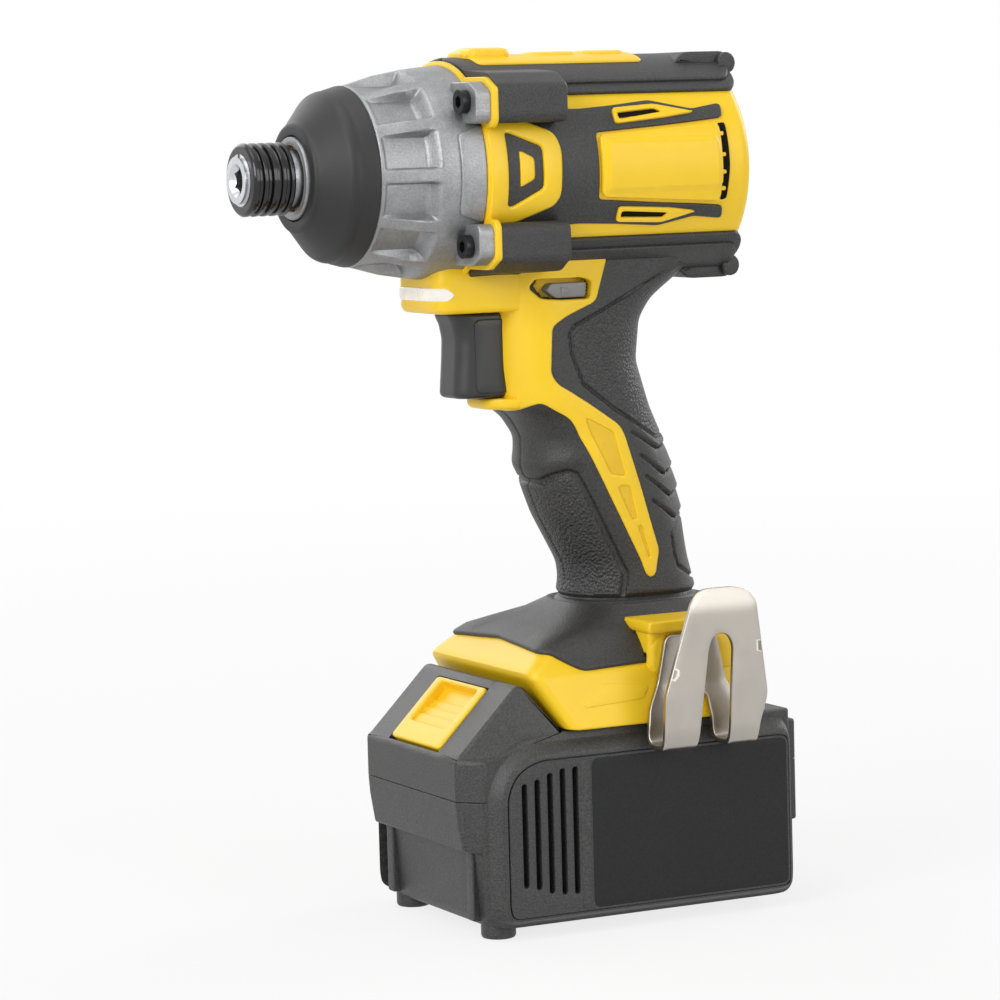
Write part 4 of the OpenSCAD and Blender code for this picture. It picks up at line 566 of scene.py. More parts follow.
# Bit collar: a turned and blackened steel sleeve with four grip grooves. It slides forward over
# the anvil against a spring to let the bit go.
collar_black = finish("blackened_steel", (0.006, 0.006, 0.0065), 0.15, 0, patch=(3, 0.18), grain=(0.4, 0.015))
collar_r, collar_bore, groove_r = 9.85, 7.2, 8.9
collar_line = [(-97.3, collar_bore), (-97.3, 9.2), (-96.7, collar_r)]
for x in (-94.9, -92.3, -89.7, -87.1):
    collar_line += [(x - 0.75, collar_r), (x - 0.5, groove_r), (x + 0.5, groove_r), (x + 0.75, collar_r)]
collar_line += [(-85.4, collar_r), (-85, 9.4), (-85, collar_bore), (-97.3, collar_bore)]
piece("collar_sleeve", [turned(collar_line, 0.2, 0.25)], collar_black, "collar", "dark_steel", "bit_collar")

# Handle grip: rubber moulded over the handle core, smooth and finely grained, with a leather
# grain inside groove lines at the finger pad and behind, chevron grooves on the back, a parting
# line down the front and a groove round the neck.


def loft(rows, ease=3, tall=0.5, wide=241):
    """Half a tower of rounded rectangles: rows hold height, front, back, half-width and corner.
    Each section runs by even steps of its length from the middle of the front round the left
    flank to the middle of the back, and the rows are eased into each other."""
    rows = np.asarray(rows, float)
    z = np.arange(rows[0, 0], rows[-1, 0] + tall / 2, tall)
    reach = np.arange(z[0] - 3 * ease, z[-1] + 3 * ease + tall / 2, tall)
    weight = np.exp(-0.5 * (np.arange(-3 * ease, 3 * ease + tall / 2, tall) / (0.45 * ease)) ** 2)
    weight /= weight.sum()
    eased = [np.convolve(np.interp(reach, rows[:, 0], rows[:, k]), weight, "same") for k in (1, 2, 3, 4)]
    skip = len(weight) // 2
    front, back, half, corner = [v[skip:skip + len(z), None] for v in eased]
    corner = np.minimum(corner, 0.98 * half)
    t = np.linspace(0, 1, 40)[None]
    q = t * np.pi / 2
    x = np.concatenate([
        front + 0 * t, front + corner * (1 - np.cos(q)), front + corner + (back - front - 2 * corner) * t,
        back - corner * (1 - np.sin(q)), back + 0 * t], 1)
    y = np.concatenate([
        (half - corner) * t, half - corner * (1 - np.sin(q)), half + 0 * t,
        half - corner * (1 - np.cos(q)), (half - corner) * (1 - t)], 1)
    run = np.concatenate([np.zeros((len(z), 1)), np.cumsum(np.hypot(np.diff(x), np.diff(y)), 1)], 1)
    share = np.linspace(0, 1, wide)
    even = np.array([
        np.stack([np.interp(share, r / r[-1], u), np.interp(share, r / r[-1], v)], 1)
        for r, u, v in zip(run, x, y)])
    net = np.stack([even[..., 0], -even[..., 1], np.repeat(z[:, None], wide, 1)], -1)
    out = np.cross(np.gradient(net, axis=1), np.gradient(net, axis=0))
    out[:, 0, 1] = out[:, -1, 1] = 0
    out /= np.linalg.norm(out, axis=-1, keepdims=True)
    out *= np.sign(-out[len(z) // 2, wide // 2, 1])
    span = run[:, -1].mean()

    def on(a, b, h):
        """Place a along the girth from the front and height b, raised by h: left flank first,
        then round the back to the right."""
        side = np.where((a < 0) | (a > span), -1, 1)
        a = np.where(a > span, 2 * span - a, np.abs(a))
        u = np.clip(a / span, 0, 1) * (wide - 1)
        v = np.clip((b - z[0]) / tall, 0, len(z) - 1)
        i, j = np.minimum(u.astype(int), wide - 2), np.minimum(v.astype(int), len(z) - 2)
        fu, fv = (u - i)[..., None], (v - j)[..., None]

        def mix(table):
            """The four nearest values of a table, each by its share."""
            return ((1 - fu) * (1 - fv) * table[j, i] + fu * (1 - fv) * table[j, i + 1]
                    + (1 - fu) * fv * table[j + 1, i] + fu * fv * table[j + 1, i + 1])
        at = mix(net) + mix(out) * np.asarray(h)[..., None]
        at[..., 1] *= side
        return at

    def find(xz):
        """Side-view points as places: the height is kept, and X is looked up along the girth."""
        v = np.clip((xz[:, 1] - z[0]) / tall, 0, len(z) - 1.001)
        j = v.astype(int)
        line = net[j, :, 0] * (1 - (v - j))[:, None] + net[j + 1, :, 0] * (v - j)[:, None]
        k = np.clip((line < xz[:, :1]).sum(1), 1, wide - 1)
        row = np.arange(len(k))
        gap = np.maximum(line[row, k] - line[row, k - 1], 1e-6)
        u = k - 1 + np.clip((xz[:, 0] - line[row, k - 1]) / gap, 0, 1)
        return np.stack([u / (wide - 1) * span, xz[:, 1]], 1)
    return on, find, span


on_handle, handle_side, handle_span = loft([
    (83.5, -3.2, 37.4, 16.5, 15.6), (88, -2, 36, 16, 15.5), (92.9, -1.1, 34.7, 15.8, 15.3),
    (97.8, -1.7, 33.4, 15.6, 15.1), (104, -5, 32.4, 15.8, 15.3), (112, -9.3, 31.4, 16.15, 15.6),
    (120, -12.3, 29.9, 16.5, 16), (128, -14.1, 27.4, 16.7, 16), (134, -13.9, 24.9, 16.8, 16),
    (140.9, -18, 21.2, 17, 14.5), (143.4, -22.5, 20.1, 17, 13.6), (154, -24, 16.9, 17, 13.6),
    (166, -24, 18.3, 17, 13.6), (172, -24, 22.2, 17.2, 13.6), (178, -24, 30.5, 17.5, 13.6),
    (186, -24, 41, 17.9, 13.6)
])


def closed(net):
    """Quads over rows of points round an upright, with both end rows drawn in to their middle."""
    low, top = [np.repeat(end.mean(1, keepdims=True), net.shape[1], 1) for end in (net[:1], net[-1:])]
    return grid(np.concatenate([low, net, top]))


def from_line(xz, line):
    """Distance of each side-view point to the nearest stretch of a line."""
    line = np.asarray(line, float)
    p, d = line[:-1], np.diff(line, axis=0)
    t = np.clip(((xz[:, None] - p) * d).sum(-1) / (d * d).sum(-1), 0, 1)
    return np.linalg.norm(xz[:, None] - p - t[..., None] * d, axis=-1).min(1)


def groove(xz, line, half, deep):
    """A round-bottomed groove along a line, of this half-width and depth."""
    return -deep * (1 - ramp(from_line(xz, line), 0.35 * half, half))


def bead(away, high, wide):
    """A round bead, or a groove where high is below nought: a bell curve of the distance away."""
    return high * np.exp(-(away / wide) ** 2)


back_line = [
    (36, 185), (33.6, 183.3), (17.3, 176.2), (1.7, 168.5), (-6.8, 164.7), (-8.3, 162.5), (-7.8, 157.5),
    (-4.6, 149), (5.4, 141.2), (19.6, 132.5), (23.9, 132.8), (40, 138)
]
back_field = [(60, 138), (60, 190)] + back_line
finger_line = [
    (-40, 121), (-12.6, 121.2), (-11, 122.9), (-8.1, 124.2), (-6.1, 123.3), (-4, 119.3), (1.4, 108.8),
    (8.5, 95), (8.3, 92.4), (7.6, 89.8)
]
finger_pad = finger_line + [(-40, 88)]
chevrons = [
    [(10.6, 134.5), (20, 129.5), (23.9, 130.3), (40, 136)],
    [(13.3, 128), (21.6, 122.4), (26.4, 123.5), (40, 128)],
    [(14.9, 122), (23.7, 116.1), (28.1, 117.2), (40, 121)],
    [(17, 115), (25.7, 109.6), (29.2, 110.9), (40, 115)]
]
notch = [(40, 112.6), (29.4, 108.6), (23.8, 105.3), (24.6, 99.8), (25.8, 95.9), (32.3, 92.2), (45, 90.5)]
swell = [(-40, 125.4), (-14.4, 125.4), (-11.5, 126.4), (-7, 127.6)]
pocket = [
    (-18.8, 175.7), (-17.4, 178.2), (-5, 178.2), (-1.6, 177.2), (-2.1, 172.2), (-10.9, 172.2), (-16.1, 172.7)
]
neck_z, skin_up, pocket_deep = 88.2, 1.1, 4.4


def leather_share(xz):
    """One inside the finger pad and the rear field, falling to nought at their groove lines."""
    pad = inside(xz, [np.array(finger_pad)]) * ramp(from_line(xz, finger_line), 0.4, 1.2)
    hind = inside(xz, [np.array(back_field)]) * ramp(from_line(xz, back_line), 0.4, 1.2)
    return np.clip(pad * (xz[:, 1] > neck_z + 1) + hind, 0, 1)


cols = np.linspace(0, 2 * handle_span, 330, endpoint=False)
around, tall = np.meshgrid(cols, np.arange(83.5, 185.6, 0.42))
skin = on_handle(around, tall, np.full(around.shape, skin_up))
xz = skin[..., [0, 2]].reshape(-1, 2)
sink = groove(xz, finger_line, 1.3, 1.1) + groove(xz, back_line, 0.7, 0.8) + groove(xz, notch, 0.7, 0.8)
for line in chevrons:
    over = xz[:, 1] - np.interp(xz[:, 0], *np.array(line).T)
    lift = np.sign(over) * 0.5 * np.exp(-from_line(xz, line) / 1.8)
    sink += groove(xz, line, 0.6, 0.6) + lift * ramp(xz[:, 0], line[0][0], line[1][0])
sink += bead(from_line(xz, swell), 0.7, 2.4) * (xz[:, 1] > 122.5)
sink += bead(xz[:, 1] - neck_z, -1.2, 0.8)
seam = np.minimum(np.abs(around), np.abs(2 * handle_span - around)).reshape(-1)
sink += bead(seam, -0.4, 0.4) * ramp(xz[:, 1], 90, 95)
sink = np.clip(sink, -1.4, 0.8) - pocket_deep * inside(xz, [np.array(pocket)])
skin = on_handle(around, tall, skin_up + sink.reshape(around.shape))
grip = piece("handle_rubber", [closed(skin)], rubber, "tool", "grip_rubber", "left_grip", "right_grip")
grain_at = np.empty(3 * len(grip.data.vertices))
grip.data.vertices.foreach_get("co", grain_at)
grain_share = leather_share(grain_at.reshape(-1, 3)[:, [0, 2]] * 1000)
grip.data.attributes.new("leather", "FLOAT", "POINT").data.foreach_set("value", grain_share)

# Handle stripe and trigger housing: the yellow clamshell shows between the rubber as one raised
# plate a side, from the barrel past the trigger and down to a point, with a pocket for the
# selector and three inset panels of fine texture.
stripe = [
    (5, 186.4), (3.6, 184.7), (-0.2, 171.4), (-9.7, 167.5), (-13.3, 165), (-13.9, 152), (-12.1, 149),
    (-3.3, 143.5), (6.3, 137), (8, 134.2), (13.1, 118.9), (18.7, 101), (17.5, 94.3), (15.8, 93.3),
    (14.4, 94.6), (13, 98.7), (3.5, 117.2), (-6.4, 137.6), (-8.7, 140.4), (-16, 144.5), (-18.4, 143.7),
    (-20.4, 142.5), (-40, 142.5), (-40, 186.4)
]
insets = [
    [(-4.1, 139.6), (4.5, 135), (8.2, 122.5), (3.5, 123.5)],
    [(5.6, 119.9), (9.4, 119.7), (11.9, 110.2), (10.1, 110.2)],
    [(11.9, 108.4), (13.3, 108.4), (15.9, 99.5), (15.6, 98.7)]
]
stripe_low = -3.9
holes = [outline(line, 0.8, handle_side) for line in [pocket] + insets]
stripes = [
    slab(on_handle, [outline(stripe, 1.6, handle_side)] + holes, 1.6, stripe_low, 0.5),
    plate(on_handle, pocket, 0.8, -2.4, stripe_low, 0.1, handle_side),
]
inset_floors = mirrored([plate(on_handle, line, 0.8, 1.2, 0, 0.1, handle_side) for line in insets])
piece("handle_stripe", mirrored(stripes), yellow, "tool", "yellow_plastic", "left_housing", "right_housing")
fine_yellow = finish("textured_yellow", (0.86, 0.54, 0.016), 0.52, 0, patch=(20, 0.05), grain=(0.55, 0.10))
piece("stripe_insets", inset_floors, fine_yellow, "tool", "yellow_plastic", "left_housing", "right_housing")

# Fore end and guard: the yellow shell runs forward under the hammer case to hold the lamp, and a
# small lip under the trigger keeps the finger off the grip.
on_plan = facing(2)
fore_half = [(-46, 13.4), (-30, 14.4), (-24, 14.4), (-19.2, 13.8), (-17.4, 11), (-16, 11)]
fore_plan = [(x, -y) for x, y in fore_half] + fore_half[::-1]
guard_plan = [(-29, -6), (-24.5, -11), (-19, -12.5), (-19, 12.5), (-24.5, 11), (-29, 6)]
fore = [
    plate(on_plan, fore_plan, 5.5, 183, 169.4, 0.5, low_edge=2),
    plate(on_plan, guard_plan, 3, 145.4, 142.2, 0.7, low_edge=1.8),
]
piece("fore_shell", fore, yellow, "tool", "yellow_plastic", "left_housing", "right_housing")

# Lamp lens: a frosted clear moulding let into the front of the fore end, with a pointed tail on
# each side. It carries a faint painted glow, an emission in its own finish.
lens_mat = finish("frosted_lens", (0.86, 0.80, 0.70), 0.22, 0, patch=(5, 0.10), grain=(1.6, 0.35))
# Painted glow: a faint emission in the lens's finish.
lens_painted_glow = {"Emission Color": (1, 0.98, 0.93, 1), "Emission Strength": 0.16}
feed(lens_mat.node_tree, lens_mat.node_tree.nodes["Principled BSDF"], lens_painted_glow)
on_fore, fore_side = loft([(169.4, -46, -18, 13.5, 6), (184, -46, -18, 13.5, 6)], 1.2, 0.25)[:2]
tail = fore_side(np.array([(-42.9, 176.6), (-40.8, 174.7), (-42.7, 173)]))
lens = [plate(on_fore, np.concatenate([tail, tail[::-1] * [-1, 1]]), 0.6, 0.8, -1.5, 0.4)]
piece("lamp_window", lens, lens_mat, "tool", "clear_lens", "lamp_lens")

# Trigger: a glass-filled nylon paddle with a scooped front and a stepped flank, pulled straight
# back into the housing against its spring.
trigger_black = finish("trigger_nylon", (0.022, 0.0225, 0.024), 0.40, 0, patch=(7, 0.10), grain=(0.35, 0.02))


def tower_of(rows, low_round, top_round, ease=1.2, count=200):
    """A closed tower of rounded rectangles with its low and top edges run as quarter circles."""
    on, find, span = loft(rows, ease, 0.25)
    arc = np.linspace(0, np.pi / 2, 7)
    low, top = rows[0][0], rows[-1][0]
    middle = np.arange(low + low_round + 1, top - top_round - 0.5, 1)
    back = arc[::-1]
    z = np.concatenate([low + low_round * (1 - np.sin(back)), middle, top - top_round * (1 - np.sin(arc))])
    draw = np.concatenate([-low_round * (1 - np.cos(back)), 0 * middle, -top_round * (1 - np.cos(arc))])
    a, b = np.meshgrid(np.linspace(0, 2 * span, count, endpoint=False), z)
    return closed(on(a, b, np.repeat(draw[:, None], count, 1)))


trigger_fronts = [(145.7, -37.6), (150, -37.3), (156, -36.8), (162, -36.5), (166, -37.3), (169, -38.8)]
trigger_rows = [(z, front, -20.2, 8.8, 5.6) for z, front in trigger_fronts]
on_trigger, trigger_side = loft(trigger_rows, 1, 0.25)[:2]
cheek = [(-33, 147), (-32.6, 157), (-33, 167.4), (-10, 167.4), (-10, 147)]
cheeks = mirrored([plate(on_trigger, cheek, 2, 0.5, rooted, 0.5, trigger_side)])
paddle = tower_of(trigger_rows, 1.6, 1, 1)
piece("trigger_paddle", [paddle] + cheeks, trigger_black, "trigger", "trigger_plastic", "trigger")

# Direction selector: a grey slide through the handle above the trigger, pushed from either side,
# with a pointed end and a small raised arrow.
selector_grey = finish("selector_nylon", (0.24, 0.24, 0.24), 0.36, 0, patch=(6, 0.08), grain=(0.3, 0.02))
slide = [(-15.2, 175), (-13.5, 176.8), (-2.4, 176.8), (-2.9, 172.6), (-12.2, 172.6)]
arrow = [(-10.6, 175.8), (-7.4, 174.5), (-10.6, 173.2)]
selector = [plate(flat_side, slide, 0.6, 17.7, 12), plate(flat_side, arrow, 0.3, 17.9, 17, 0.15, step=0.4)]
piece("selector_slide", mirrored(selector), selector_grey, "selector", "dark_plastic", "direction_selector")

# Foot: the clamshell flares out over the battery, yellow with a rubber saddle on top and a thin plate
# on each flank. The boss on the left, with a block and a flanged lip over it, takes the belt hook;
# the one on the right is lower and bare.
foot_rows = [
    (56, -20.6, 42, 36, 3.2), (70.7, -29.8, 42, 32.4, 3.2), (72, -29.8, 42, 31.3, 3.2),
    (78.4, -22.6, 41.6, 26.6, 4.2), (82.2, -11.4, 40.2, 20.6, 8), (84.4, -5, 38.2, 17.6, 12.5),
    (87, -3.4, 37, 16.8, 13.4)
]
on_foot, foot_side = loft(foot_rows, 0.8, 0.25)[:2]
boss, block = oblong(5.6, 34, 68.4, 79.4), oblong(5.6, 34, 70.4, 81.4)
lip = oblong(4.6, 35.4, 80.4, 83.6)
foot_plate = [(-15.8, 62.6), (-8.4, 67.7), (3.9, 66.5), (5, 65.6), (2.9, 62.7), (-15.2, 61.7)]
boss_root = 18.0
foot = [
    tower_of(foot_rows[:-1], 0.6, 0.3, 0.8, 260),
    plate(flat_side, boss, 4, 34, boss_root, 2),
    plate(flat_side, lip, 1, 35.4, 16, 0.8),
    plate(flat_side, block, 2, 33.6, boss_root, 1.5),
    mirrored([plate(flat_side, boss, 4, 32, boss_root, 2)])[1],
]
foot += mirrored([plate(on_foot, foot_plate, 0.6, 0.22, rooted, 0.18, foot_side, 0.5)])
piece("foot_shell", foot, yellow, "tool", "yellow_plastic", "left_housing", "right_housing")
saddle = foot_side(np.array([(60, 86.8), (60, 72.4), (4.4, 72), (-13.8, 71.4), (-22.4, 76.2), (-60, 77.8)]))
saddle = np.roll(np.concatenate([saddle, saddle[-2::-1] * [-1, 1]]), 3, 0)
saddle_parts = [plate(on_foot, saddle, 1.4, 1.1, rooted, 0.6)]
piece("foot_saddle", saddle_parts, rubber, "tool", "grip_rubber", "left_grip", "right_grip")

# Belt hook: one blank of 1.6 mm spring steel, nickel plated, with a slot between two legs. It is
# folded into a hairpin and held to the boss by one screw.
nickel = finish("satin_nickel", (0.43, 0.40, 0.36), 0.34, 1, patch=(14, 0.05), grain=(0.25, 0.012),
                stretch=0.15)
sheet_half = 0.8
bend = softened([
    (-34.9, 79.7), (-34.9, 65.9), (-38.2, 56.1), (-38.2, 52.6), (-39.6, 50.4), (-43.2, 50), (-46.4, 50.4),
    (-47.45, 53.4), (-47.45, 87.8), (-46.3, 93.2)
], 1.3, 0.25)
bend_run = run_of(bend)
bend_way = np.gradient(bend, axis=0)
bend_way /= np.linalg.norm(bend_way, axis=1, keepdims=True)


def on_hook(a, b, h):
    """A point of the flat blank, a along X and b along the fold line, at h off the sheet's middle."""
    y, z, way_y, way_z = [np.interp(b, bend_run, v) for v in (*bend.T, *bend_way.T)]
    return np.stack([a + 0 * b, y + h * way_z, z - h * way_y], -1)


def blank(points, outer):
    """Side-view points of the hook as places on the flat blank, on its outer or its inner leg."""
    turn = np.argmin(bend[:, 1])
    z, run = (bend[turn:, 1], bend_run[turn:]) if outer else (bend[:turn, 1][::-1], bend_run[:turn][::-1])
    return [(x, float(np.interp(height, z, run))) for x, height in points]


hook_out = [
    (1.8, 54), (2.4, 64.6), (11, 89.6), (12.6, 92), (15.6, 93.2), (24.6, 93.2), (29, 92), (31.4, 89.4),
    (34.6, 62.8), (31.6, 54)
]
hook_in = [
    (31.4, 54), (31, 60), (28.4, 66.2), (25.6, 79.6), (9.8, 79.6), (7, 66.2), (3.2, 60), (1.8, 54)
]
slot_out = [
    (22.4, 52), (23.4, 69), (23.9, 77.2), (22.4, 80.2), (19.6, 81), (17.4, 79.9), (16.2, 77), (12.6, 52)
]
slot_in = [(12.4, 52), (12.9, 63), (21.8, 63), (22.2, 52)]
hook_edge = outline(blank(hook_out, True) + blank(hook_in, False), 2.2)
hook_slot = outline(blank(slot_out, True) + blank(slot_in, False), 2)
hook = slab(on_hook, [hook_edge, hook_slot], sheet_half, -sheet_half, 0.35, cell=1.6, low_edge=0.35)
piece("hook_sheet", [hook], nickel, "tool", "plated_sheet", "belt_hook")

# Battery cases: two trays of dark grained nylon screwed together at a seam round the middle, with
# bevelled front corners, a chin, a sloped front with room for the release button and a rear step.
# Its colour carries painted glints of the grain.
shell = finish("grained_nylon", (0.036, 0.036, 0.0355), 0.46, 0, patch=(14, 0.08), grain=(0.5, 0.16),
               painted_glint=0.55)
seam_z, seam_half = 38.5, 0.1
flank_y = 33.4
tray_rear = (50, flank_y)


def tray_row(z, front, bevel, rear=tray_rear, sink=0, drop=0, half=28):
    """Plan outline at a height: six places across the front, where the button's room lies back by
    sink and down by drop, then the rear ends of the corner bevels and the rear corners, both as X
    and half width."""
    across = np.array([-half, -15.6, -15.3, 15.3, 15.6, half])
    x = [*(front + np.array([0, 0, sink, sink, 0, 0])), bevel[0], rear[0], rear[0], bevel[0]]
    y = [*across, bevel[1], rear[1], -rear[1], -bevel[1]]
    return np.stack([x, y, z - drop * np.array([0, 0, 1, 1, 0, 0, 0, 0, 0, 0])], 1)


def faceted(rows):
    """A closed skin of flat faces over level outlines with as many corners each."""
    net = np.asarray(rows, float)
    points, quads = grid(net)
    count = net.shape[1]
    return points, quads + [list(range(count)), list(range(len(points) - count, len(points)))]


def rear_step(low, high):
    """A narrower block behind a tray, as two level outlines."""
    plan = oblong(46, 60, -20, 20)
    return faceted([[(x, y, z) for x, y in plan] for z in (low, high)])


def rounded(made, width, bare=0):
    """Rounds the sharp edges of a faceted piece, those at the seam by a quarter as much. Edges nearer
    to the middle plane than bare are left as they are, apart from those at the very front."""
    form = bmesh.new()
    form.from_mesh(made.data)
    weight = form.edges.layers.float.new("bevel_weight_edge")
    for edge in form.edges:
        x, y, z = 1000 * np.array([end.co for end in edge.verts]).T
        outer = np.abs(y).max() > bare or x.max() < -51.5
        at_seam = np.abs(z - seam_z).max() < 0.4
        edge[weight] = (0.25 if at_seam else 1) * bool(outer and edge.calc_face_angle(0) > 0.65)
    form.to_mesh(made.data)
    form.free()
    cut = made.modifiers.new("edge_round", "BEVEL")
    cut.width = width * 0.001
    cut.segments = 3
    cut.limit_method = "WEIGHT"
    cut.use_clamp_overlap = False


upper_low, lower_top = seam_z + seam_half, seam_z - seam_half
upper_rows = [
    (upper_low, -52, (-46.6, flank_y)), (49.5, -52, (-46.6, flank_y)), (50.5, -51, (-42.6, flank_y)),
    (50.8, -50.7, (-41.5, flank_y), tray_rear, -0.25, 8.8),
    (55.6, -45.9, (-22.5, flank_y), tray_rear, 0, 8.6),
    (55.6, -45.9, (-22.5, flank_y), (-21.9, flank_y), 0, 8.6),
    (66.4, -35.1, (-31, 28.9), (-29.5, 28.9), 2.7, 6.8),
    (66.5, -35, (-31.1, 28.8), (-29.6, 28.8), 2.6, 0.5), (66.7, -34.8, (-31.3, 28.75), (-29.7, 28.75)),
    (68.4, -33.1, (-32.6, 28), (-30.9, 28))
]
lower_rows = [
    (3.4, -43.8, (-41.5, 31.4), (48, 31.4), 0, 0, 26.5), (6, -45.2, (-43, 32.8), tray_rear, 0, 0, 27.4),
    (21.2, -46.2, (-44.2, 33)), (24, -46.6, (-44.8, 33.2)), (24.8, -50.2, (-46, flank_y)),
    (33.3, -51.6, (-46.6, flank_y)), (lower_top, -52, (-46.6, flank_y))
]
upper = [faceted([tray_row(*row) for row in upper_rows]), rear_step(upper_low, 50)]
lower = [faceted([tray_row(*row) for row in lower_rows]), rear_step(21, lower_top)]
upper_tray = piece("battery_upper_tray", upper, shell, "battery", "battery_plastic", "battery_upper_case")
rounded(upper_tray, 0.8, 16)
lower_tray = piece("battery_lower_tray", lower, shell, "battery", "battery_plastic", "battery_lower_case")
rounded(lower_tray, 0.8)

# Battery flanks and feet: one raised panel a side spans the seam, with a hollow edge, five slots, a
# band and a smooth plate, and ribs stand on the recessed lower front. Two round front feet and a
# rear bar are moulded on.
flank = [(-46.8, -0.3), (-46.8, 42), (-42, 50.6), (-33, 55.2), (54.1, 55.2), (54.1, -0.3)]
flank_edge = [(5.6 * t, 32.9 + 3.6 * ramp(t, 0.1, 1)) for t in np.linspace(0, 1, 13)]
flank_edge += [(6, 36.5), (6.1, 35.9), (6.35, 35.9), (6.45, 36.6), (6.8, 36.6)]
slots = [
    (-35.5, 14.5, 43), (-31.6, 13.6, 43.9), (-27.7, 12.2, 45.3), (-23.8, 11.5, 46.2), (-19.9, 11.3, 46.3)
]
slot_loops = [outline(oblong(x - 0.8, x + 0.8, low, high), 0.75, None, 0.5) for x, low, high in slots]


def on_flank(a, b, h):
    """A point of the battery's side, drawn narrower at its low and rear edges than on the flat."""
    x = np.interp(a, [-60, 47.3, 54.1], [-60, 47.3, 50.6])
    return flat_side(x, np.interp(b, [-0.3, 6.5, 60], [3.2, 6.5, 60]), h)


def foot_pad(x, y):
    """A round foot: a short post with a rounded lower rim, turned about its upright."""
    line = softened([(0, 0), (4.4, 0), (4.8, 0.6), (4.8, 5.5), (0, 5.5)], 0.5, 0.4)
    turn = circle(40)
    r, z = line[:, :1], line[:, 1:] + 0 * turn
    return grid(np.stack([x + r * np.cos(turn), y + r * np.sin(turn), z], -1))


on_front = facing(0, -45.6, -1)
flanks = mirrored([
    slab(on_flank, [outline(flank, 11)] + slot_loops, 36.6, 32, 0.4, profile=flank_edge),
    plate(flat_side, oblong(-18.5, -15.3, 7, 48), 0.8, 36.8, 35.5, 0.3),
])
flanks += [plate(on_front, oblong(y, y + 4, 5, 24.5), 0.6, 1.6, -1.5) for y in (-27, 23)]
flanks += [foot_pad(-39.5, y) for y in (-26.5, 26.5)]
flanks.append(plate(on_plan, oblong(33, 39, -7, 7), 1.5, 5, 0, low_edge=0.5))
piece("battery_flanks", flanks, shell, "battery", "battery_plastic", "battery_lower_case")
# Its colour carries painted glints of the grain.
smooth_shell = finish("smooth_nylon", (0.009, 0.0092, 0.0095), 0.50, 0, patch=(12, 0.10), grain=(0.5, 0.05),
                      painted_glint=0.3, gloss=0.3)
plates = mirrored([plate(flat_side, oblong(-14.9, 46.9, 6.9, 48.1), 2, 36.7, 35.5, 0.1)])
piece("battery_plates", plates, smooth_shell, "battery", "battery_plastic", "battery_lower_case")

# Release button: a yellow wedge on the battery's slope with a stepped finger pocket, pressed down to
# draw the latch out of the foot.


def on_slope(a, b, h):
    """A point at a across the tool and b up the slope from its foot, raised by h."""
    root = np.sqrt(0.5)
    return np.stack([-52 + root * b - root * h, a + 0 * b, 49.5 + root * b + root * h], -1)


key_line, key_pocket = oblong(-15, 15, 2.3, 24), oblong(-11.4, 11.4, 8.8, 22.6)
key_parts = [slab(on_slope, [outline(key_line, 1.5), outline(key_pocket, 1.2)], 0.5, -2.8, 0.6)]
for low, high, level in ((8.6, 12, -0.5), (11.6, 14.8, -1.1), (14.4, 17.6, -1.7), (17.2, 22.8, -2.3)):
    key_parts.append(plate(on_slope, oblong(-11.6, 11.6, low, high), 0.4, level, -3, 0.35, step=0.6))
piece("release_key", key_parts, yellow, "button", "yellow_plastic", "release_button")

# Floor, light and camera: a pale sweep under the tool, large soft lamps on both sides and above,
# and the photograph's view from the front left, a little above the middle.
floor_mat = finish("pale_floor", (0.80, 0.80, 0.80), 0.9, 0, patch=(400, 0.01), grain=(4, 0.01))


def seen_directly(tree, most):
    """Most where a ray comes from the camera, a reflection or through glass, and nought elsewhere."""
    path = tree.nodes.new("ShaderNodeLightPath").outputs
    seen = path["Is Camera Ray"]
    for kind in ("Is Transmission Ray", "Is Glossy Ray"):
        seen = add(tree, "Math", "Value", {0: seen, 1: path[kind]}, operation="MAXIMUM")
    return add(tree, "Math", "Value", {0: seen, 1: most}, operation="MULTIPLY")


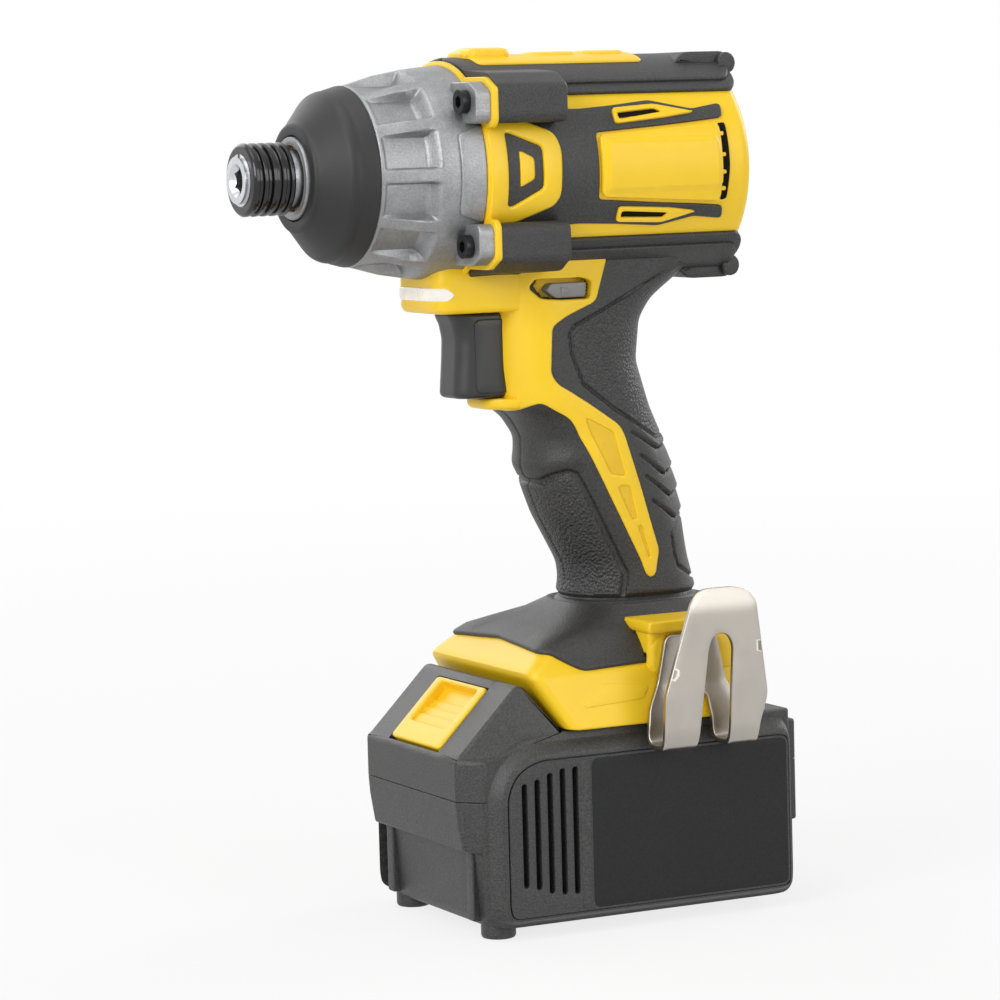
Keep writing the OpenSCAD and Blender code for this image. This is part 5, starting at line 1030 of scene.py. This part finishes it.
tree = floor_mat.node_tree
place = add(tree, "TexCoord", "Object", {})
reach = add(tree, "VectorMath", "Value", {0: place}, operation="LENGTH")
fade = add(tree, "MapRange", "Result", {"Value": reach, "From Min": 0.2, "From Max": 1.2, "To Min": 0.8})
share = add(tree, "Math", "Value", {0: fade, 1: seen_directly(tree, 1)}, operation="MULTIPLY")
lit = tree.nodes["Principled BSDF"].outputs["BSDF"]
glow = add(tree, "Emission", "Emission", {})
mixed = add(tree, "MixShader", "Shader", {"Fac": share, 1: lit, 2: glow})
feed(tree, tree.nodes["Material Output"], {"Surface": mixed})
floor_mesh = bpy.data.meshes.new("floor")
floor_mesh.from_pydata([(-9, -9, 0), (9, -9, 0), (9, 9, 0), (-9, 9, 0)], [], [(0, 1, 2, 3)])
floor_mesh.materials.append(floor_mat)
floor = bpy.data.objects.new("floor", floor_mesh)
bpy.context.scene.collection.objects.link(floor)


def lamp(name, place, aim_z, size, watts):
    """A square soft lamp at a place, turned to a height on the upright through the origin."""
    light = bpy.data.lights.new(name, "AREA")
    light.shape = "SQUARE"
    light.size = size
    light.energy = watts
    made = bpy.data.objects.new(name, light)
    made.location = place
    made.rotation_euler = (Vector((0, 0, aim_z)) - Vector(place)).to_track_quat("-Z", "Y").to_euler()
    bpy.context.scene.collection.objects.link(made)


lamp("key_lamp", (-1.3, -0.6, 0.8), aim_z=0.12, size=0.8, watts=13)
lamp("fill_lamp", (0.5, -1.4, 0.6), aim_z=0.12, size=0.9, watts=6.5)
lamp("rim_lamp", (1.2, 0.2, 0.7), aim_z=0.12, size=0.7, watts=6)
lamp("top_lamp", (-0.3, -0.1, 1.3), aim_z=0.1, size=0.9, watts=5)
lamp("back_lamp", (-0.2, 1.25, 0.75), aim_z=0.1, size=1, watts=5.5)
scene = bpy.context.scene
scene.view_settings.view_transform = "Standard"
world = bpy.data.worlds.new("studio")
scene.world = world
world.use_nodes = True
tree = world.node_tree
ambient = 0.18
level = add(tree, "Math", "Value", {0: seen_directly(tree, 1 - ambient), 1: ambient})
feed(tree, tree.nodes["Background"], {"Color": (1, 1, 1, 1), "Strength": level})

view = bpy.data.cameras.new("view")
view.lens = 144.0
view.sensor_width = 36.0
camera = bpy.data.objects.new("view", view)
azimuth, elevation, roll = np.radians(-27), np.radians(5.7), np.radians(1.55)
aim, distance = Vector((-0.022, 0, 0.1165)), 1.111
level_way = np.cos(elevation)
back_way = Vector((np.sin(azimuth) * level_way, -np.cos(azimuth) * level_way, np.sin(elevation)))
camera.matrix_world = back_way.to_track_quat("Z", "Y").to_matrix().to_4x4()
camera.rotation_euler.rotate_axis("Z", -roll)
camera.location = aim + back_way * distance
scene.collection.objects.link(camera)
scene.camera = camera
